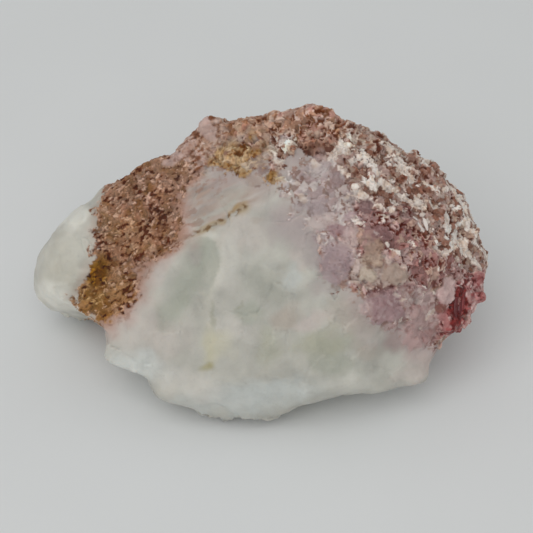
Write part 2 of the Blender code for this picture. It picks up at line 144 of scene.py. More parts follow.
# the parts of the stone as they are drawn: across and up, in mm
zones = {
    "band": (
        (-27.2, 12.5), (-27.3, 9.0), (-27.8, 7.4), (-28.2, 5.7), (-28.2, 4.1), (-27.7, 1.6), (-28.2, -0.3),
        (-29.3, -1.6), (-30.1, -3.3), (-31.1, -4.9), (-31.7, -6.5), (-29.9, -8.1), (-28.6, -9.5),
        (-27.0, -10.9), (-25.2, -10.7), (-23.4, -9.2), (-21.7, -7.2), (-20.5, -4.8), (-20.2, -2.5),
        (-18.7, -0.5), (-16.2, 1.0), (-14.4, 2.6), (-13.1, 4.1), (-13.8, 6.2), (-14.3, 8.2), (-13.6, 10.2),
        (-12.5, 12.1), (-10.5, 13.8), (-11.2, 15.4), (-14.1, 16.4), (-17.1, 18.1), (-19.0, 21.0),
        (-32.0, 19.0),
    ),
    "crust": (
        (-9.8, 14.9), (-10.0, 16.4), (-9.2, 18.4), (-8.2, 20.4), (-7.9, 26.3), (42.0, 27.9), (42.0, -14.8),
        (30.9, -14.0), (28.2, -15.1), (26.3, -14.0), (24.3, -12.8), (22.3, -11.2), (19.7, -10.5),
        (17.4, -9.5), (17.1, -7.4), (15.3, -6.1), (14.0, -4.1), (12.8, -0.3), (11.7, 2.3), (10.3, 3.9),
        (10.3, 6.6), (8.5, 7.9), (5.6, 8.7), (4.8, 10.0), (6.2, 11.8), (8.9, 12.1), (10.5, 14.8),
        (8.9, 16.4), (5.9, 16.4), (3.6, 15.2), (3.2, 13.9), (1.6, 13.2), (-0.3, 14.8), (-3.9, 13.9),
        (-6.9, 14.7),
    ),
    "ochre": (
        (-8.4, 19.4), (-5.3, 20.2), (-0.3, 19.7), (0.7, 17.7), (0.0, 15.6), (3.4, 13.5), (1.3, 12.1),
        (-0.3, 14.3), (-3.9, 13.3), (-6.9, 14.1), (-9.5, 13.8), (-9.8, 15.6), (-8.5, 17.2),
    ),
    "ridge": (
        (-8.2, 27.1), (13.3, 27.1), (14.9, 22.2), (11.3, 20.2), (5.9, 20.0), (2.6, 20.3), (0.3, 20.4),
        (-4.8, 20.2), (-8.2, 19.5),
    ),
    "albite": (
        (0.3, 20.4), (5.9, 20.2), (11.0, 20.2), (14.4, 22.6), (18.2, 24.6), (35.5, 14.8), (40.4, -0.3),
        (36.8, -3.3), (33.2, -1.0), (28.2, 2.0), (26.3, 5.6), (23.0, 8.7), (17.7, 9.2), (14.1, 10.2),
        (11.7, 13.8), (7.5, 16.1), (3.0, 15.4),
    ),
    "lilac": (
        (10.2, 7.5), (14.1, 10.0), (17.7, 9.2), (23.0, 8.7), (26.3, 5.6), (28.2, 2.0), (33.2, -1.0),
        (36.8, -3.3), (33.8, -5.3), (29.9, -3.3), (25.6, -5.3), (22.0, -5.9), (17.4, -6.2), (14.1, -4.1),
        (11.8, 2.3),
    ),
    "beige": (
        (14.4, -0.7), (16.6, 0.7), (21.0, 0.3), (23.6, -1.6), (23.3, -3.8), (20.0, -5.1), (16.1, -4.6),
        (14.1, -2.8),
    ),
    "pinkLow": (
        (13.5, -6.6), (17.1, -6.2), (22.0, -4.6), (25.6, -4.3), (28.6, -5.3), (28.9, -8.5), (28.6, -13.1),
        (28.2, -15.8), (25.3, -15.1), (22.3, -13.5), (19.7, -11.5), (16.1, -10.8), (13.5, -9.2),
    ),
    "redPink": (
        (28.6, -5.9), (29.9, -3.9), (31.5, -2.6), (33.8, -2.0), (36.4, -1.3), (40.0, -4.1), (39.0, -9.5),
        (34.8, -13.5), (33.2, -15.0), (29.5, -14.6), (28.6, -12.5), (27.9, -9.2),
    ),
    "red": (
        (31.5, -3.9), (32.4, -4.1), (33.2, -5.1), (33.3, -7.1), (33.2, -8.9), (32.7, -10.8), (31.9, -12.3),
        (30.2, -12.8), (29.4, -11.9), (30.5, -10.2), (31.0, -8.2), (31.0, -6.1),
    ),
    "fringe": (
        (2.3, 11.8), (3.3, 15.1), (5.9, 17.2), (9.5, 18.1), (12.1, 15.8), (14.1, 11.5), (15.1, 7.9),
        (11.5, 3.9), (12.8, -0.3), (14.1, -3.9), (13.0, -4.9), (11.3, -3.0), (9.8, 0.5), (8.5, 3.9),
        (6.2, 6.6), (3.3, 8.2),
    ),
    "striated": (
        (-13.1, 3.9), (-14.1, 7.9), (-13.1, 10.5), (-10.5, 13.1), (-6.2, 13.5), (-0.3, 13.5), (1.3, 11.5),
        (-1.0, 9.2), (-3.0, 9.0), (-5.6, 7.4), (-9.7, 5.3),
    ),
    "hollow": (
        (-9.2, 3.9), (-7.9, 3.0), (-7.1, 1.6), (-7.1, -0.2), (-7.7, -2.1), (-8.9, -4.9), (-10.0, -7.1),
        (-11.2, -8.9), (-13.6, -10.8), (-16.2, -12.3), (-18.1, -11.5), (-17.1, -7.9), (-15.4, -4.6),
        (-13.8, -1.0), (-15.4, -0.3), (-16.1, 1.0), (-13.3, 3.1), (-10.8, 3.9),
    ),
    "skyline": (
        (-25.6, 12.1), (-22.3, 17.4), (-16.6, 20.1), (-12.1, 25.2), (-9.8, 27.3), (-6.9, 27.0),
        (-5.6, 20.0), (-8.5, 16.4), (-9.5, 14.4), (-12.5, 12.8), (-15.4, 12.1), (-18.7, 11.2),
        (-22.0, 11.8),
    ),
}
veinLine = ((-23.5, -0.6), (-18.0, 1.2), (-14.0, 3.2), (-9.7, 5.0), (-3.1, 8.7))

bodyMake = {
    "voxel": 0.5,  # mm; the granular parts in front are halved again
    "fineTo": 0.1,  # a granular part that turns to the front by this share or more is halved
    "besideVein": 1.2,  # mm on each side of the vein that are halved too
    "quartzSmoothing": 12,  # rounds
    "crustSmoothing": 4,
    "keepFlat": 0.3,  # mm over the floor in which nothing is raised or sunk
    "held": 0.15,  # and in which the skin stays the solid's own
}


def pointsOf(mesh):
    flat = np.empty(len(mesh.vertices) * 3, np.float64)
    mesh.vertices.foreach_get("co", flat)
    return flat.reshape(-1, 3) * 1000


def raggedEdge(points):
    return noises(points, (0.9, 2.2, 3), (0.5, 0.9, 4), (0.22, 0.45, 5))


def granularAt(points):
    places = onDrawing(points)
    ragged = raggedEdge(points)
    parts = [depthInside(zones[name], places) for name in ("band", "crust", "skyline", "fringe")]
    return rise(np.max(parts, axis=0) + ragged, -1.5, 0.4)


# one closed skin of even quads, halved where the front is granular, and then cut into triangles
def evenSkin(source):
    work = bmesh.new()
    work.from_mesh(source.data)
    bmesh.ops.remove_doubles(work, verts=work.verts, dist=1e-6)
    mesh = bpy.data.meshes.new("stoneBody")
    work.to_mesh(mesh)
    work.free()
    body = bpy.data.objects.new("stoneBody", mesh)
    scene.collection.objects.link(body)
    remesh = body.modifiers.new("Remesh", "REMESH")
    remesh.mode = "VOXEL"
    remesh.voxel_size = bodyMake["voxel"] * 0.001
    ready = body.evaluated_get(bpy.context.evaluated_depsgraph_get())
    body.data = bpy.data.meshes.new_from_object(ready)
    body.modifiers.clear()
    bpy.data.meshes.remove(mesh)
    points = toFace(pointsOf(body.data))
    places = onDrawing(points)
    rough = (granularAt(points) > 0.02) | (gapToLine(veinLine, places) < bodyMake["besideVein"])
    rough |= depthInside(zones["striated"], places) > 0
    work = bmesh.new()
    work.from_mesh(body.data)
    work.verts.ensure_lookup_table()
    outOfFace = Vector(faceAxes[2])
    chosen = [
        f for f in work.faces
        if f.normal.dot(outOfFace) > bodyMake["fineTo"] and any(rough[v.index] for v in f.verts)
    ]
    split = {e for f in chosen for e in f.edges}
    split = sorted(split, key=lambda e: e.index)
    bmesh.ops.subdivide_edges(work, edges=split, cuts=1, use_grid_fill=True)
    bmesh.ops.triangulate(work, faces=work.faces)
    work.to_mesh(body.data)
    work.free()
    body.data.name = "stoneBody"
    return body


body = evenSkin(stone)
mesh = body.data
faces = np.empty(len(mesh.loops), np.int64)
mesh.loops.foreach_get("vertex_index", faces)
faces = faces.reshape(-1, 3)
edges = np.empty(len(mesh.edges) * 2, np.int64)
mesh.edges.foreach_get("vertices", edges)
edges = edges.reshape(-1, 2)
valence = np.bincount(edges.ravel(), minlength=len(mesh.vertices)).astype(float)
print("stone body: skin of", len(faces), "triangles")


def spread(values):
    total = np.empty_like(values)
    for k in range(values.shape[1]):
        total[:, k] = np.bincount(edges[:, 0], values[edges[:, 1], k], len(values))
        total[:, k] += np.bincount(edges[:, 1], values[edges[:, 0], k], len(values))
    return total / valence[:, None]


def normalsOf(points):
    cross = np.cross(points[faces[:, 1]] - points[faces[:, 0]], points[faces[:, 2]] - points[faces[:, 0]])
    total = np.zeros_like(points)
    for corner in range(3):
        for k in range(3):
            total[:, k] += np.bincount(faces[:, corner], cross[:, k], len(points))
    return total / np.linalg.norm(total, axis=1)[:, None].clip(1e-9)


# a surface broken into grains: each point takes its tilt and its draws from the nearest grain
def mosaic(points, spacing, seed, warp=0.25):
    chance = np.random.default_rng(seed)
    bend = [noiseAt(points, spacing * 0.6, seed + k) for k in (1, 2, 3)]
    points = points + warp * spacing * np.stack(bend, axis=1)
    low = points.min(axis=0) - 2 * spacing
    counts = np.ceil((points.max(axis=0) + 2 * spacing - low) / spacing).astype(int)
    jitter = chance.uniform(0, 1, (*counts, 3))
    draw = chance.uniform(0, 1, (*counts, 5))
    cell = np.floor((points - low) / spacing).astype(int)
    best = np.full(len(points), np.inf)
    second = np.full(len(points), np.inf)
    away = np.zeros_like(points)
    drawn = np.zeros((len(points), 5))
    for offset in np.ndindex(3, 3, 3):
        near = cell + np.array(offset) - 1
        index = tuple(near.T)
        step = points - (low + (near + jitter[index]) * spacing)
        distance = np.sqrt((step ** 2).sum(axis=1))
        closer = distance < best
        second = np.where(closer, best, np.minimum(second, distance))
        best = np.where(closer, distance, best)
        away = np.where(closer[:, None], step, away)
        drawn = np.where(closer[:, None], draw[index], drawn)
    tilted = (away * (drawn[:, :3] - 0.5)).sum(axis=1)
    found = {"tilt": tilted, "lift": drawn[:, 3] - 0.5, "draw": drawn[:, 4], "pick": drawn[:, 0]}
    return {**found, "border": second - best}


# rounded clear lumps that stand a little out of the crust
softLumps = (  # across, up, half length, half width, turn in degrees, height, tone
    (29.9, -5.2, 2.4, 1.6, 75, 0.9, (184, 160, 157)), (28.9, -8.0, 1.1, 0.9, 20, 0.1, (126, 84, 76)),
    (25.4, -9.4, 2.1, 1.7, 60, 0.45, (160, 136, 133)), (21.2, -2.4, 2.2, 1.9, 30, 0.7, (154, 137, 126)),
    (17.2, -2.2, 1.5, 1.4, -30, 0.4, (170, 157, 143)), (18.6, -0.6, 1.2, 0.8, 10, 0.5, (180, 162, 152)),
    (14.9, -0.4, 0.9, 1.9, 0, 0.5, (182, 166, 160)), (17.0, -8.0, 1.8, 1.4, 40, 0.35, (158, 139, 136)),
    (24.6, -13.2, 2.2, 1.7, 30, 0.4, (164, 138, 135)), (-10.3, 23.7, 1.6, 1.7, 20, 0.6, (170, 147, 142)),
    (-9.0, 20.8, 1.6, 1.9, 20, 0.15, (170, 147, 139)), (-14.9, 16.4, 1.9, 0.9, 25, 0.2, (172, 148, 140)),
)

# clear blocks with a stepped outline between the quartz and the crust
clearBlocks = (  # across, up, half length, half width, turn in degrees, height, tone, strength
    (8.9, 14.8, 1.9, 1.3, 10, 0.04, (172, 160, 158), 0.65),
    (6.2, 9.0, 1.3, 0.9, 0, 0.1, (152, 140, 139), 0.7),
    (8.6, 8.4, 1.9, 1.4, 5, 0.14, (148, 135, 135), 0.75),
    (11.6, 13.3, 1.1, 1.6, 0, 0.14, (138, 117, 116), 0.75),
    (14.3, 10.2, 0.7, 0.9, 0, 0.1, (138, 124, 122), 0.7),
    (16.8, 8.8, 1.3, 1.1, 0, 0.14, (114, 88, 88), 0.75),
    (14.0, 7.1, 1.9, 0.9, 10, 0.12, (158, 136, 138), 0.7),
    (12.3, 5.0, 1.9, 1.3, -10, 0.16, (138, 110, 112), 0.8),
    (13.9, 3.5, 1.7, 3.6, -8, -0.1, (188, 168, 164), 0.65),
    (9.8, 6.6, 3.4, 0.9, 8, -0.06, (186, 170, 165), 0.55),
    (11.4, -0.6, 2.9, 3.4, -22, 0.2, (146, 127, 129), 0.75),
    (18.2, 4.4, 2.4, 1.1, 0, 0.14, (130, 98, 99), 0.6),
    (17.7, 1.3, 1.9, 2.4, -5, 0.1, (150, 128, 110), 0.65),
    (19.8, -7.5, 2.9, 2.9, 12, 0.16, (142, 115, 118), 0.7),
    (-12.8, 18.4, 2.4, 1.0, 42, 0.1, (172, 144, 135), 0.35),
    (-1.6, 16.2, 2.2, 0.8, 30, -0.1, (196, 184, 174), 0.35),
    (-0.2, 14.6, 0.8, 0.6, 0, 0.14, (118, 94, 88), 0.7),
    (-1.6, 13.0, 1.6, 1.1, 0, 0.1, (150, 132, 120), 0.5),
)
blockShadowTone = (108, 76, 62)  # painted shadow along the lower right side of a raised block
darkTongue = (8.9, 18.2, 3.1, 1.9, 0)  # here the crust reaches down over the quartz


# 0 in the middle of a turned oval, 1 on its rim; a higher power squares it
def reachOf(row, places, power=2):
    across, up, half, width, turn = row[:5]
    angle = math.radians(turn)
    away = places - (across, up)
    along = np.abs(away @ np.array((math.cos(angle), math.sin(angle)))) / half
    aside = np.abs(away @ np.array((-math.sin(angle), math.cos(angle)))) / width
    return (along ** power + aside ** power) ** (1 / power)


# 0 for the lowest value of a field, 1 for its highest, and even in between
def rankOf(field):
    steps = np.linspace(0, 1, 101)
    return np.interp(field, np.quantile(field, steps), steps)


# places for a field that is drawn out along one direction
def drawnOut(points, along, aside, stretch, deep=1):
    drawn = [points @ np.array(along) / stretch, points @ np.array(aside), points[:, 2] / deep]
    return np.stack(drawn, axis=1)


# how high grains stand; each row is the grains, their tilt and their step in mm
def reliefOf(rows):
    total = 0
    for grains, tilt, step in rows:
        total = total + tilt * grains["tilt"] + step * grains["lift"]
    return total


# inside a zone that ends along grains, 0 to 1
def inside(name, wander, low, high):
    return rise(depth[name] + wander, low, high)


grainSize = {"large": 2.5, "middle": 1.35, "small": 0.66}  # mm across

points = toFace(pointsOf(mesh))
start = points.copy()
places = onDrawing(points)
ragged = raggedEdge(points)
depth = {name: depthInside(outline, places) for name, outline in zones.items()}
large = mosaic(points, grainSize["large"], 21)
middle = mosaic(points, grainSize["middle"], 25)
small = mosaic(points, grainSize["small"], 29)

# one field of pits for the coarse crust and one of sand for the band: both shape and colour follow them
pitField = noises(points, (0.8, 0.62, 41), (0.5, 0.36, 42), (0.55, 2.4, 43))
pitRank = rankOf(pitField - 0.5 * (middle["border"] < 0.1))
slant = drawnOut(points, (0.88, 0.47, 0), (-0.47, 0.88, 0), 2.1, 1.3)
sand = 0.5 * noiseAt(slant, 0.34, 16) + 0.4 * noiseAt(points, 0.5, 17) + 0.3 * noiseAt(points, 1.5, 18)
sand += 0.25 * noiseAt(points, 4.2, 58) + 0.6 * small["tilt"] + 0.3 * small["lift"]
sandRank = rankOf(sand)
bandFlakes = 0.7 * noiseAt(slant, 0.28, 59) + 0.45 * noiseAt(points, 0.7, 60)
fleckRank = rankOf(bandFlakes + 0.4 * small["lift"] + 0.3 * sand)
rightOfBand = rise(places[:, 0] + 28.5 - 0.5 * (places[:, 1] + 9), 0, 3)

# the crust ends along whole grains: far apart on its left, closer by the band
looseEdge = rise(18 - places[:, 0] + 0.4 * places[:, 1], 0, 6) * rise(places[:, 0], -4, 2)
blocky = looseEdge * (2.6 * large["lift"] + 2.2 * middle["lift"]) + 0.8 * middle["lift"] + 0.5 * small["lift"]
inCrust = np.maximum(depth["crust"], depth["fringe"] - 1.0) + ragged + blocky
inCrust += 2.4 * rise(1 - reachOf(darkTongue, places), 0, 0.5)
inBand = depth["band"] + ragged + 0.9 * middle["lift"] + 0.5 * small["lift"]
inBand += 1.3 * rightOfBand * noiseAt(points, 0.5, 54)
inSkyline = depth["skyline"] + 0.6 * ragged + 0.8 * middle["lift"]
bandShare = rise(inBand, -0.15 - 0.55 * rightOfBand, 0.2 + 0.7 * rightOfBand)
crustShare = np.max((rise(inCrust, -0.1, 0.2), bandShare, rise(inSkyline, -0.7, 0.7)), axis=0)
sandy = rise(inBand, -0.3, 0.8)

# softer parts of the crust: the low pink part, the beige part, the skyline, the fringe, lumps and blocks
soft = np.maximum(inside("pinkLow", ragged, -0.5, 0.6), 0.7 * inside("beige", ragged, -0.3, 0.6))
soft = np.maximum(soft, 0.2 * rise(inSkyline, 0, 1.5) * (1 - sandy))
inFringe = inside("fringe", ragged + 0.8 * large["lift"], -0.8, 0.8) * (1 - rise(inSkyline, 0, 1))
soft = np.maximum(soft, 0.8 * inFringe)
dent = 0.34 * noiseAt(points, 1.1, 6) + 0.14 * noiseAt(points, 0.6, 7)
lumps = [reachOf(row, places) + dent for row in softLumps]
inLump = np.max([rise(1.05 - reach, 0, 0.15) for reach in lumps], axis=0)
stepped = 0.8 * middle["lift"] + 0.4 * small["lift"] + 0.15 * ragged
blocksReach = [reachOf(row, places, 4) + stepped / min(row[2], row[3]) for row in clearBlocks]
blockShares = [row[7] * rise(1 - reach, -0.05, 0.2) for row, reach in zip(clearBlocks, blocksReach)]
inBlock = np.max(blockShares, axis=0)
soft = np.maximum(soft, 0.95 * np.maximum(inLump, inBlock))
granular = crustShare * (1 - 0.8 * soft)
inRed = inside("red", ragged, -0.8, 0.4)

for turn in range(bodyMake["quartzSmoothing"]):
    strength = 0.6 * np.where(turn < bodyMake["crustSmoothing"], 1, 1 - granular * (1 - inRed))
    points += strength[:, None] * (spread(points) - points)
outward = normalsOf(points)
height = np.zeros(len(points))
quartz = 1 - granular

# soft swells, then shell-like steps, the streaks near the band, and the broken foot
shell = mosaic(points, 5.2, 14, 0.1)
quartzRelief = {  # mm
    "swells": ((0.16, 5.0, 11), (0.08, 2.1, 12)), "shell": ((shell, 0.09, 0.14),),
    "streak": 0.06, "vein": 0.12, "foot": ((middle, 1.4, 0.9), (large, 0.8, 0.6)), "footTop": 4.5,
    "corner": (25.6, -19.6, 3.6, 2.4, 20), "cornerRise": 1.4,  # a small ledge low on the right
}
height += quartz * noises(points, *quartzRelief["swells"])
height += quartz * reliefOf(quartzRelief["shell"])
streaks = drawnOut(points, (0.9, 0.42, 0), (0.42, -0.9, 0.1), 5, 3)
streak = noiseAt(streaks + 0.15 * ragged[:, None], 0.62, 15) + 0.6 * noiseAt(streaks, 0.33, 16)
height += inside("striated", ragged, -0.6, 0.8) * quartzRelief["streak"] * streak
floorGap = pointsOf(mesh)[:, 2]
foot = rise(quartzRelief["footTop"] - floorGap, 0, 3) * rise(outward[:, 2], -0.5, 0.2) * quartz
height += foot * reliefOf(quartzRelief["foot"])
corner = rise(1 - reachOf(quartzRelief["corner"], places), 0, 0.9)
height += quartzRelief["cornerRise"] * corner * rise(-outward[:, 1], 0, 0.6)

# the far lump is trimmed past a line: a place on it, the way up and left, and the depth in mm
lumpTrim = {"from": (-32.3, 6.5), "towards": (-0.66, 0.75), "trim": 1.15}
beyond = (places - lumpTrim["from"]) @ np.array(lumpTrim["towards"])
atLump = rise(beyond, -2.6, 2.0), rise(-25.6 - places[:, 0], 0, 3.4), rise(places[:, 1], -1, 4)
height -= lumpTrim["trim"] * atLump[0] * atLump[1] * atLump[2]

# the grains of the crust, and the finer ones, flecks and pits of the band
crustRelief = {  # mm
    "coarse": ((large, 0.3, 0.22), (middle, 0.32, 0.2)), "fine": ((small, 0.1, 0.07),),
    "pit": 0.34, "out": 0.12,  # it stands out by this much
}
bandRelief = {"grains": ((middle, 0.16, 0.1),), "fleck": 0.1, "pit": 0.16, "sand": 0.06}
angular = granular * (1 - 0.85 * sandy) * (1 - 0.6 * inside("redPink", ragged, -0.5, 0.8))
height += angular * reliefOf(crustRelief["coarse"])
height += granular * (1 - sandy) * reliefOf(crustRelief["fine"])
flecksUp = bandRelief["fleck"] * rise(fleckRank, 0.86, 0.94)
pitsDown = bandRelief["pit"] * rise(sandRank, 0.8, 0.95)
height += granular * sandy * (reliefOf(bandRelief["grains"]) + flecksUp - pitsDown)
softSwell = crustShare * soft * 0.3 * noiseAt(points, 1.7, 19)
height += granular * (bandRelief["sand"] + bandRelief["sand"] * sandy) * sand + softSwell
towardFront = rise(outward[:, 2], 0, 0.2)
domes = [row[5] * np.sqrt(np.clip(1 - reach, 0, 1)) for row, reach in zip(softLumps, lumps)]
height += towardFront * np.max(domes, axis=0)
for row, reach in zip(clearBlocks, blocksReach):
    height += towardFront * row[5] * rise(1 - reach, 0, 0.25)
pitsDown = crustRelief["pit"] * rise(pitRank, 0.76, 0.95)
height -= granular * (1 - 0.7 * sandy) * (pitsDown - crustRelief["out"])
height -= quartzRelief["vein"] * rise(0.45 - gapToLine(veinLine, places), 0, 0.4)

height *= rise(floorGap, bodyMake["keepFlat"], bodyMake["keepFlat"] + 0.8)
points += outward * height[:, None]
inStone = toStone(points)
inStone[:, 2] = np.maximum(inStone[:, 2], 0)
held = floorGap < bodyMake["held"]
inStone[held] = toStone(start)[held]
mesh.vertices.foreach_set("co", (inStone * 0.001).ravel())
mesh.update()
points = toFace(inStone)
outward = normalsOf(points)
places = onDrawing(points)
print("stone body: relief done, granular share", round(float(granular.mean()), 2))

quartzTones = {
    "quartz": (165, 163, 155), "white": (181, 177, 170), "bright": (198, 196, 188),
    "cream": (172, 168, 156), "bluish": (181, 184, 181), "pinkWhite": (177, 167, 161),
    "greenGrey": (149, 151, 139), "olive": (155, 154, 138), "beige": (160, 150, 140),
    "mauveGrey": (154, 143, 141), "mauve": (130, 102, 102), "rose": (120, 86, 92),
    "pink": (162, 130, 127), "brownPink": (146, 128, 124), "yellow": (176, 170, 144),
    "stain": (146, 138, 102), "darkMark": (122, 122, 98), "ochre": (146, 118, 76),
    "vein": (104, 78, 48), "veinHalo": (150, 128, 92), "edge": (148, 116, 100),
    "blush": (170, 144, 136), "lilacBlush": (160, 144, 142), "fleck": (128, 96, 80),
    "striated": (156, 140, 130), "streakBits": (150, 130, 118), "streakGrey": (136, 128, 122),
}
quartzLight = 0.9  # the face catches more of the lamps than the crust does
veils = (  # across, up, half length, half width, turn in degrees, tone, strength
    (-18.7, -11.5, 7.4, 5.3, -20, "pinkWhite", 0.50),  # left lobe
    (-24.0, -12.8, 3.0, 3.6, 0, "white", 0.30),
    (-20.4, -17.2, 6.6, 2.3, -15, "bluish", 0.70),  # foot of the left lobe
    (-2.3, -22.3, 12.3, 3.3, 5, "bluish", 0.80),  # foot of the face
    (-12.1, -20.4, 6.6, 2.6, -20, "white", 0.60),
    (-3.1, 4.6, 4.9, 3.9, 0, "pinkWhite", 0.50),  # shoulder
    (-2.0, 10.5, 3.9, 2.3, 20, "pinkWhite", 0.60),
    (-8.0, -4.1, 8.2, 1.6, 76, "cream", 0.35),  # ridge, partly a painted highlight
    (-5.6, -0.3, 5.9, 1.8, 80, "white", 0.45),  # beside it
    (-5.3, -11.2, 4.3, 2.5, -30, "white", 0.65),  # below the ridge
    (-12.6, -3.3, 6.9, 2.3, 66, "greenGrey", 0.60),  # hollow face left of the ridge, partly painted shade
    (-15.4, -8.5, 3.6, 2.1, 60, "greenGrey", 0.60),
    (-17.1, -1.6, 3.6, 1.3, 65, "pinkWhite", 0.60),  # pale streaks beside the band
    (-9.4, 1.6, 2.3, 1.8, 60, "greenGrey", 0.40),
    (-11.2, 0.6, 2.2, 1.3, 40, "mauveGrey", 0.60),
    (-2.3, -1.0, 2.0, 1.6, 0, "white", 0.30), (4.8, -3.0, 1.8, 2.6, 0, "bluish", 0.50),
    (9.6, -4.6, 2.6, 1.8, 20, "mauveGrey", 0.55), (-10.0, 4.4, 1.8, 1.0, 30, "beige", 0.40),
    # the bright veil low on the right is painted light where the face turns down, away from the lamps
    (16.9, -12.9, 2.0, 1.8, 0, "pinkWhite", 0.50), (14.6, -20.4, 5.0, 2.0, 8, "bright", 0.35),
    (0.0, -4.1, 3.3, 4.3, 70, "greenGrey", 0.30),  # hollow face right of the ridge
    (-2.6, -8.5, 1.8, 2.5, 60, "greenGrey", 0.60),
    (3.6, -9.5, 2.6, 2.1, 30, "beige", 0.70),
    (0.7, -14.0, 2.1, 3.6, 0, "olive", 0.60),
    (10.0, -14.0, 5.6, 2.5, 8, "olive", 0.80),
    (11.7, -17.7, 4.3, 2.0, -10, "greenGrey", 0.60),
    (7.9, -10.2, 3.3, 1.5, 10, "pinkWhite", 0.80),  # island
    (5.9, -0.3, 2.0, 1.3, -40, "pinkWhite", 0.60),
    (-7.6, -14.0, 3.0, 2.4, 70, "yellow", 0.40),
    (-9.2, -13.6, 1.6, 3.4, 0, "yellow", 0.40),  # stain
    (-9.4, -17.2, 1.5, 0.9, 0, "stain", 0.70),  # its foot
    (-8.2, -9.2, 0.35, 2.0, -10, "darkMark", 0.40),
    (-4.7, -6.7, 0.3, 1.2, -12, "darkMark", 0.50),
    (-4.4, 8.4, 1.9, 0.7, 30, "ochre", 0.85),  # far end of the vein
    (-0.6, 6.9, 1.6, 0.5, 20, "beige", 0.60),
    (-7.4, 6.5, 2.2, 0.5, 30, "beige", 0.50),
    (5.6, 4.9, 5.6, 3.3, -30, "mauveGrey", 0.85),  # veil below the crust
    (9.2, 2.0, 2.6, 3.6, -20, "mauveGrey", 0.80),
    (12.1, -0.3, 2.0, 2.5, -20, "mauve", 0.90),
    (14.1, -9.0, 4.3, 3.3, -20, "beige", 0.60),
    (21.6, -13.2, 2.9, 2.4, -30, "brownPink", 0.85),
    (21.2, -7.9, 2.6, 2.0, 0, "rose", 0.20),
    (17.7, -15.1, 2.6, 2.0, 0, "beige", 0.50),
    (27.2, -15.1, 3.6, 3.3, 50, "pink", 0.85),  # right end
    (24.3, -18.7, 3.3, 2.1, 25, "pinkWhite", 0.70),
    (25.6, -11.5, 3.0, 2.5, 0, "pink", 0.80),
    (27.2, -14.6, 1.8, 3.0, 0, "pinkWhite", 0.60), (25.9, -15.5, 1.8, 3.0, 0, "white", 0.45),
    (13.1, 3.6, 3.0, 2.3, 60, "pinkWhite", 0.60),
    (14.1, -4.1, 1.5, 2.3, 0, "pinkWhite", 0.60),
    (29.9, -5.3, 1.6, 2.3, 0, "pinkWhite", 0.90),  # pale blob
    (6.7, 13.5, 3.0, 2.3, 0, "mauveGrey", 0.70),  # notch in the crust
    (9.2, 11.2, 2.3, 1.6, 0, "mauveGrey", 0.60),
    (-9.2, 10.2, 5.6, 1.8, 30, "mauveGrey", 0.60),  # streaked part by the band
    (-11.5, 11.3, 3.6, 0.9, 24, "streakGrey", 0.95),
    (-8.2, 12.5, 3.0, 0.7, 30, "streakGrey", 0.90),
    (-10.2, 8.2, 2.8, 0.7, 26, "streakGrey", 0.75),
    (-5.6, 10.5, 3.4, 0.6, 28, "white", 0.90),
    (-7.9, 6.9, 2.6, 0.5, 34, "pinkWhite", 0.80),
    (-3.9, 11.2, 4.3, 1.5, 25, "greenGrey", 0.50),
    (-12.5, 18.1, 3.6, 2.3, 40, "pink", 0.80),  # skyline
    (-9.7, 22.2, 2.3, 2.0, 0, "pink", 0.80),
    (-33.2, -1.6, 3.6, 8.2, -20, "cream", 0.60),  # far lump
    (-29.9, 3.6, 3.3, 5.3, -35, "bright", 0.30),
    (-33.5, -6.6, 5.4, 2.6, -15, "bright", 0.90), (-31.0, 7.4, 3.4, 1.8, 45, "bright", 0.80),
)


def wash(tint, share, colour):
    tint += share[:, None] * (colour - tint)


def quartzPaint(name, light=quartzLight):
    return paint(*quartzTones[name]) * light


def veil(tint, rows, places, edge):
    for row in rows:
        tone, strength = row[5:]
        wash(tint, strength * (1 - rise(reachOf(row, places) + edge, 0.35, 1.35)), quartzPaint(tone))


# every veil and zone wanders a little: across and up, in mm
drift = np.stack([noiseAt(points, 3.0, 31), noiseAt(points, 3.0, 32)], axis=1) * 1.1
drift += np.stack([noiseAt(points, 1.2, 33), noiseAt(points, 1.2, 34)], axis=1) * 0.5
facing = rise(outward[:, 2], -0.15, 0.25)

# the quartz all round: faint facets and clouds, and olive patches behind
tint = np.tile(quartzPaint("quartz"), (len(points), 1))
facets = mosaic(points, 3.6, 57, 0.5)
facetShade = (0.2 * facets["lift"] + 0.05 * facets["tilt"])[:, None]
for turn in range(2):
    facetShade = spread(facetShade)
tint *= 1 + noises(points, (0.05, 4.0, 35), (0.02, 1.7, 64))[:, None] + 1.2 * facetShade
behind = rise(noiseAt(points, 9.0, 36), -0.2, 0.6)[:, None] * (1 - facing[:, None])
tint += 0.6 * behind * (quartzPaint("olive", 1) - tint)

# the veils of the face, and the grey-green hollow with its sharp right side: the hollow is partly its own
# grey-green and partly painted shade, and a painted highlight lies along the ridge just outside it
faceTint = tint.copy()
veil(faceTint, veils, places + drift, 0.18 * noiseAt(points, 1.6, 37))
inHollow = inside("hollow", 0.15 * drift[:, 0] + 0.15 * ragged, -0.1, 0.4)
toRidge = rise(places @ np.array((0.9, 0.42)), -14, -7)
wash(faceTint, 0.5 * inHollow * toRidge, quartzPaint("greenGrey"))
# painted highlight on the ridge side just outside the hollow
faceTint *= 1 + 0.12 * (inside("hollow", 0, -1.6, -0.1) * (1 - inHollow) * toRidge)[:, None]
tint += facing[:, None] * (faceTint - tint)

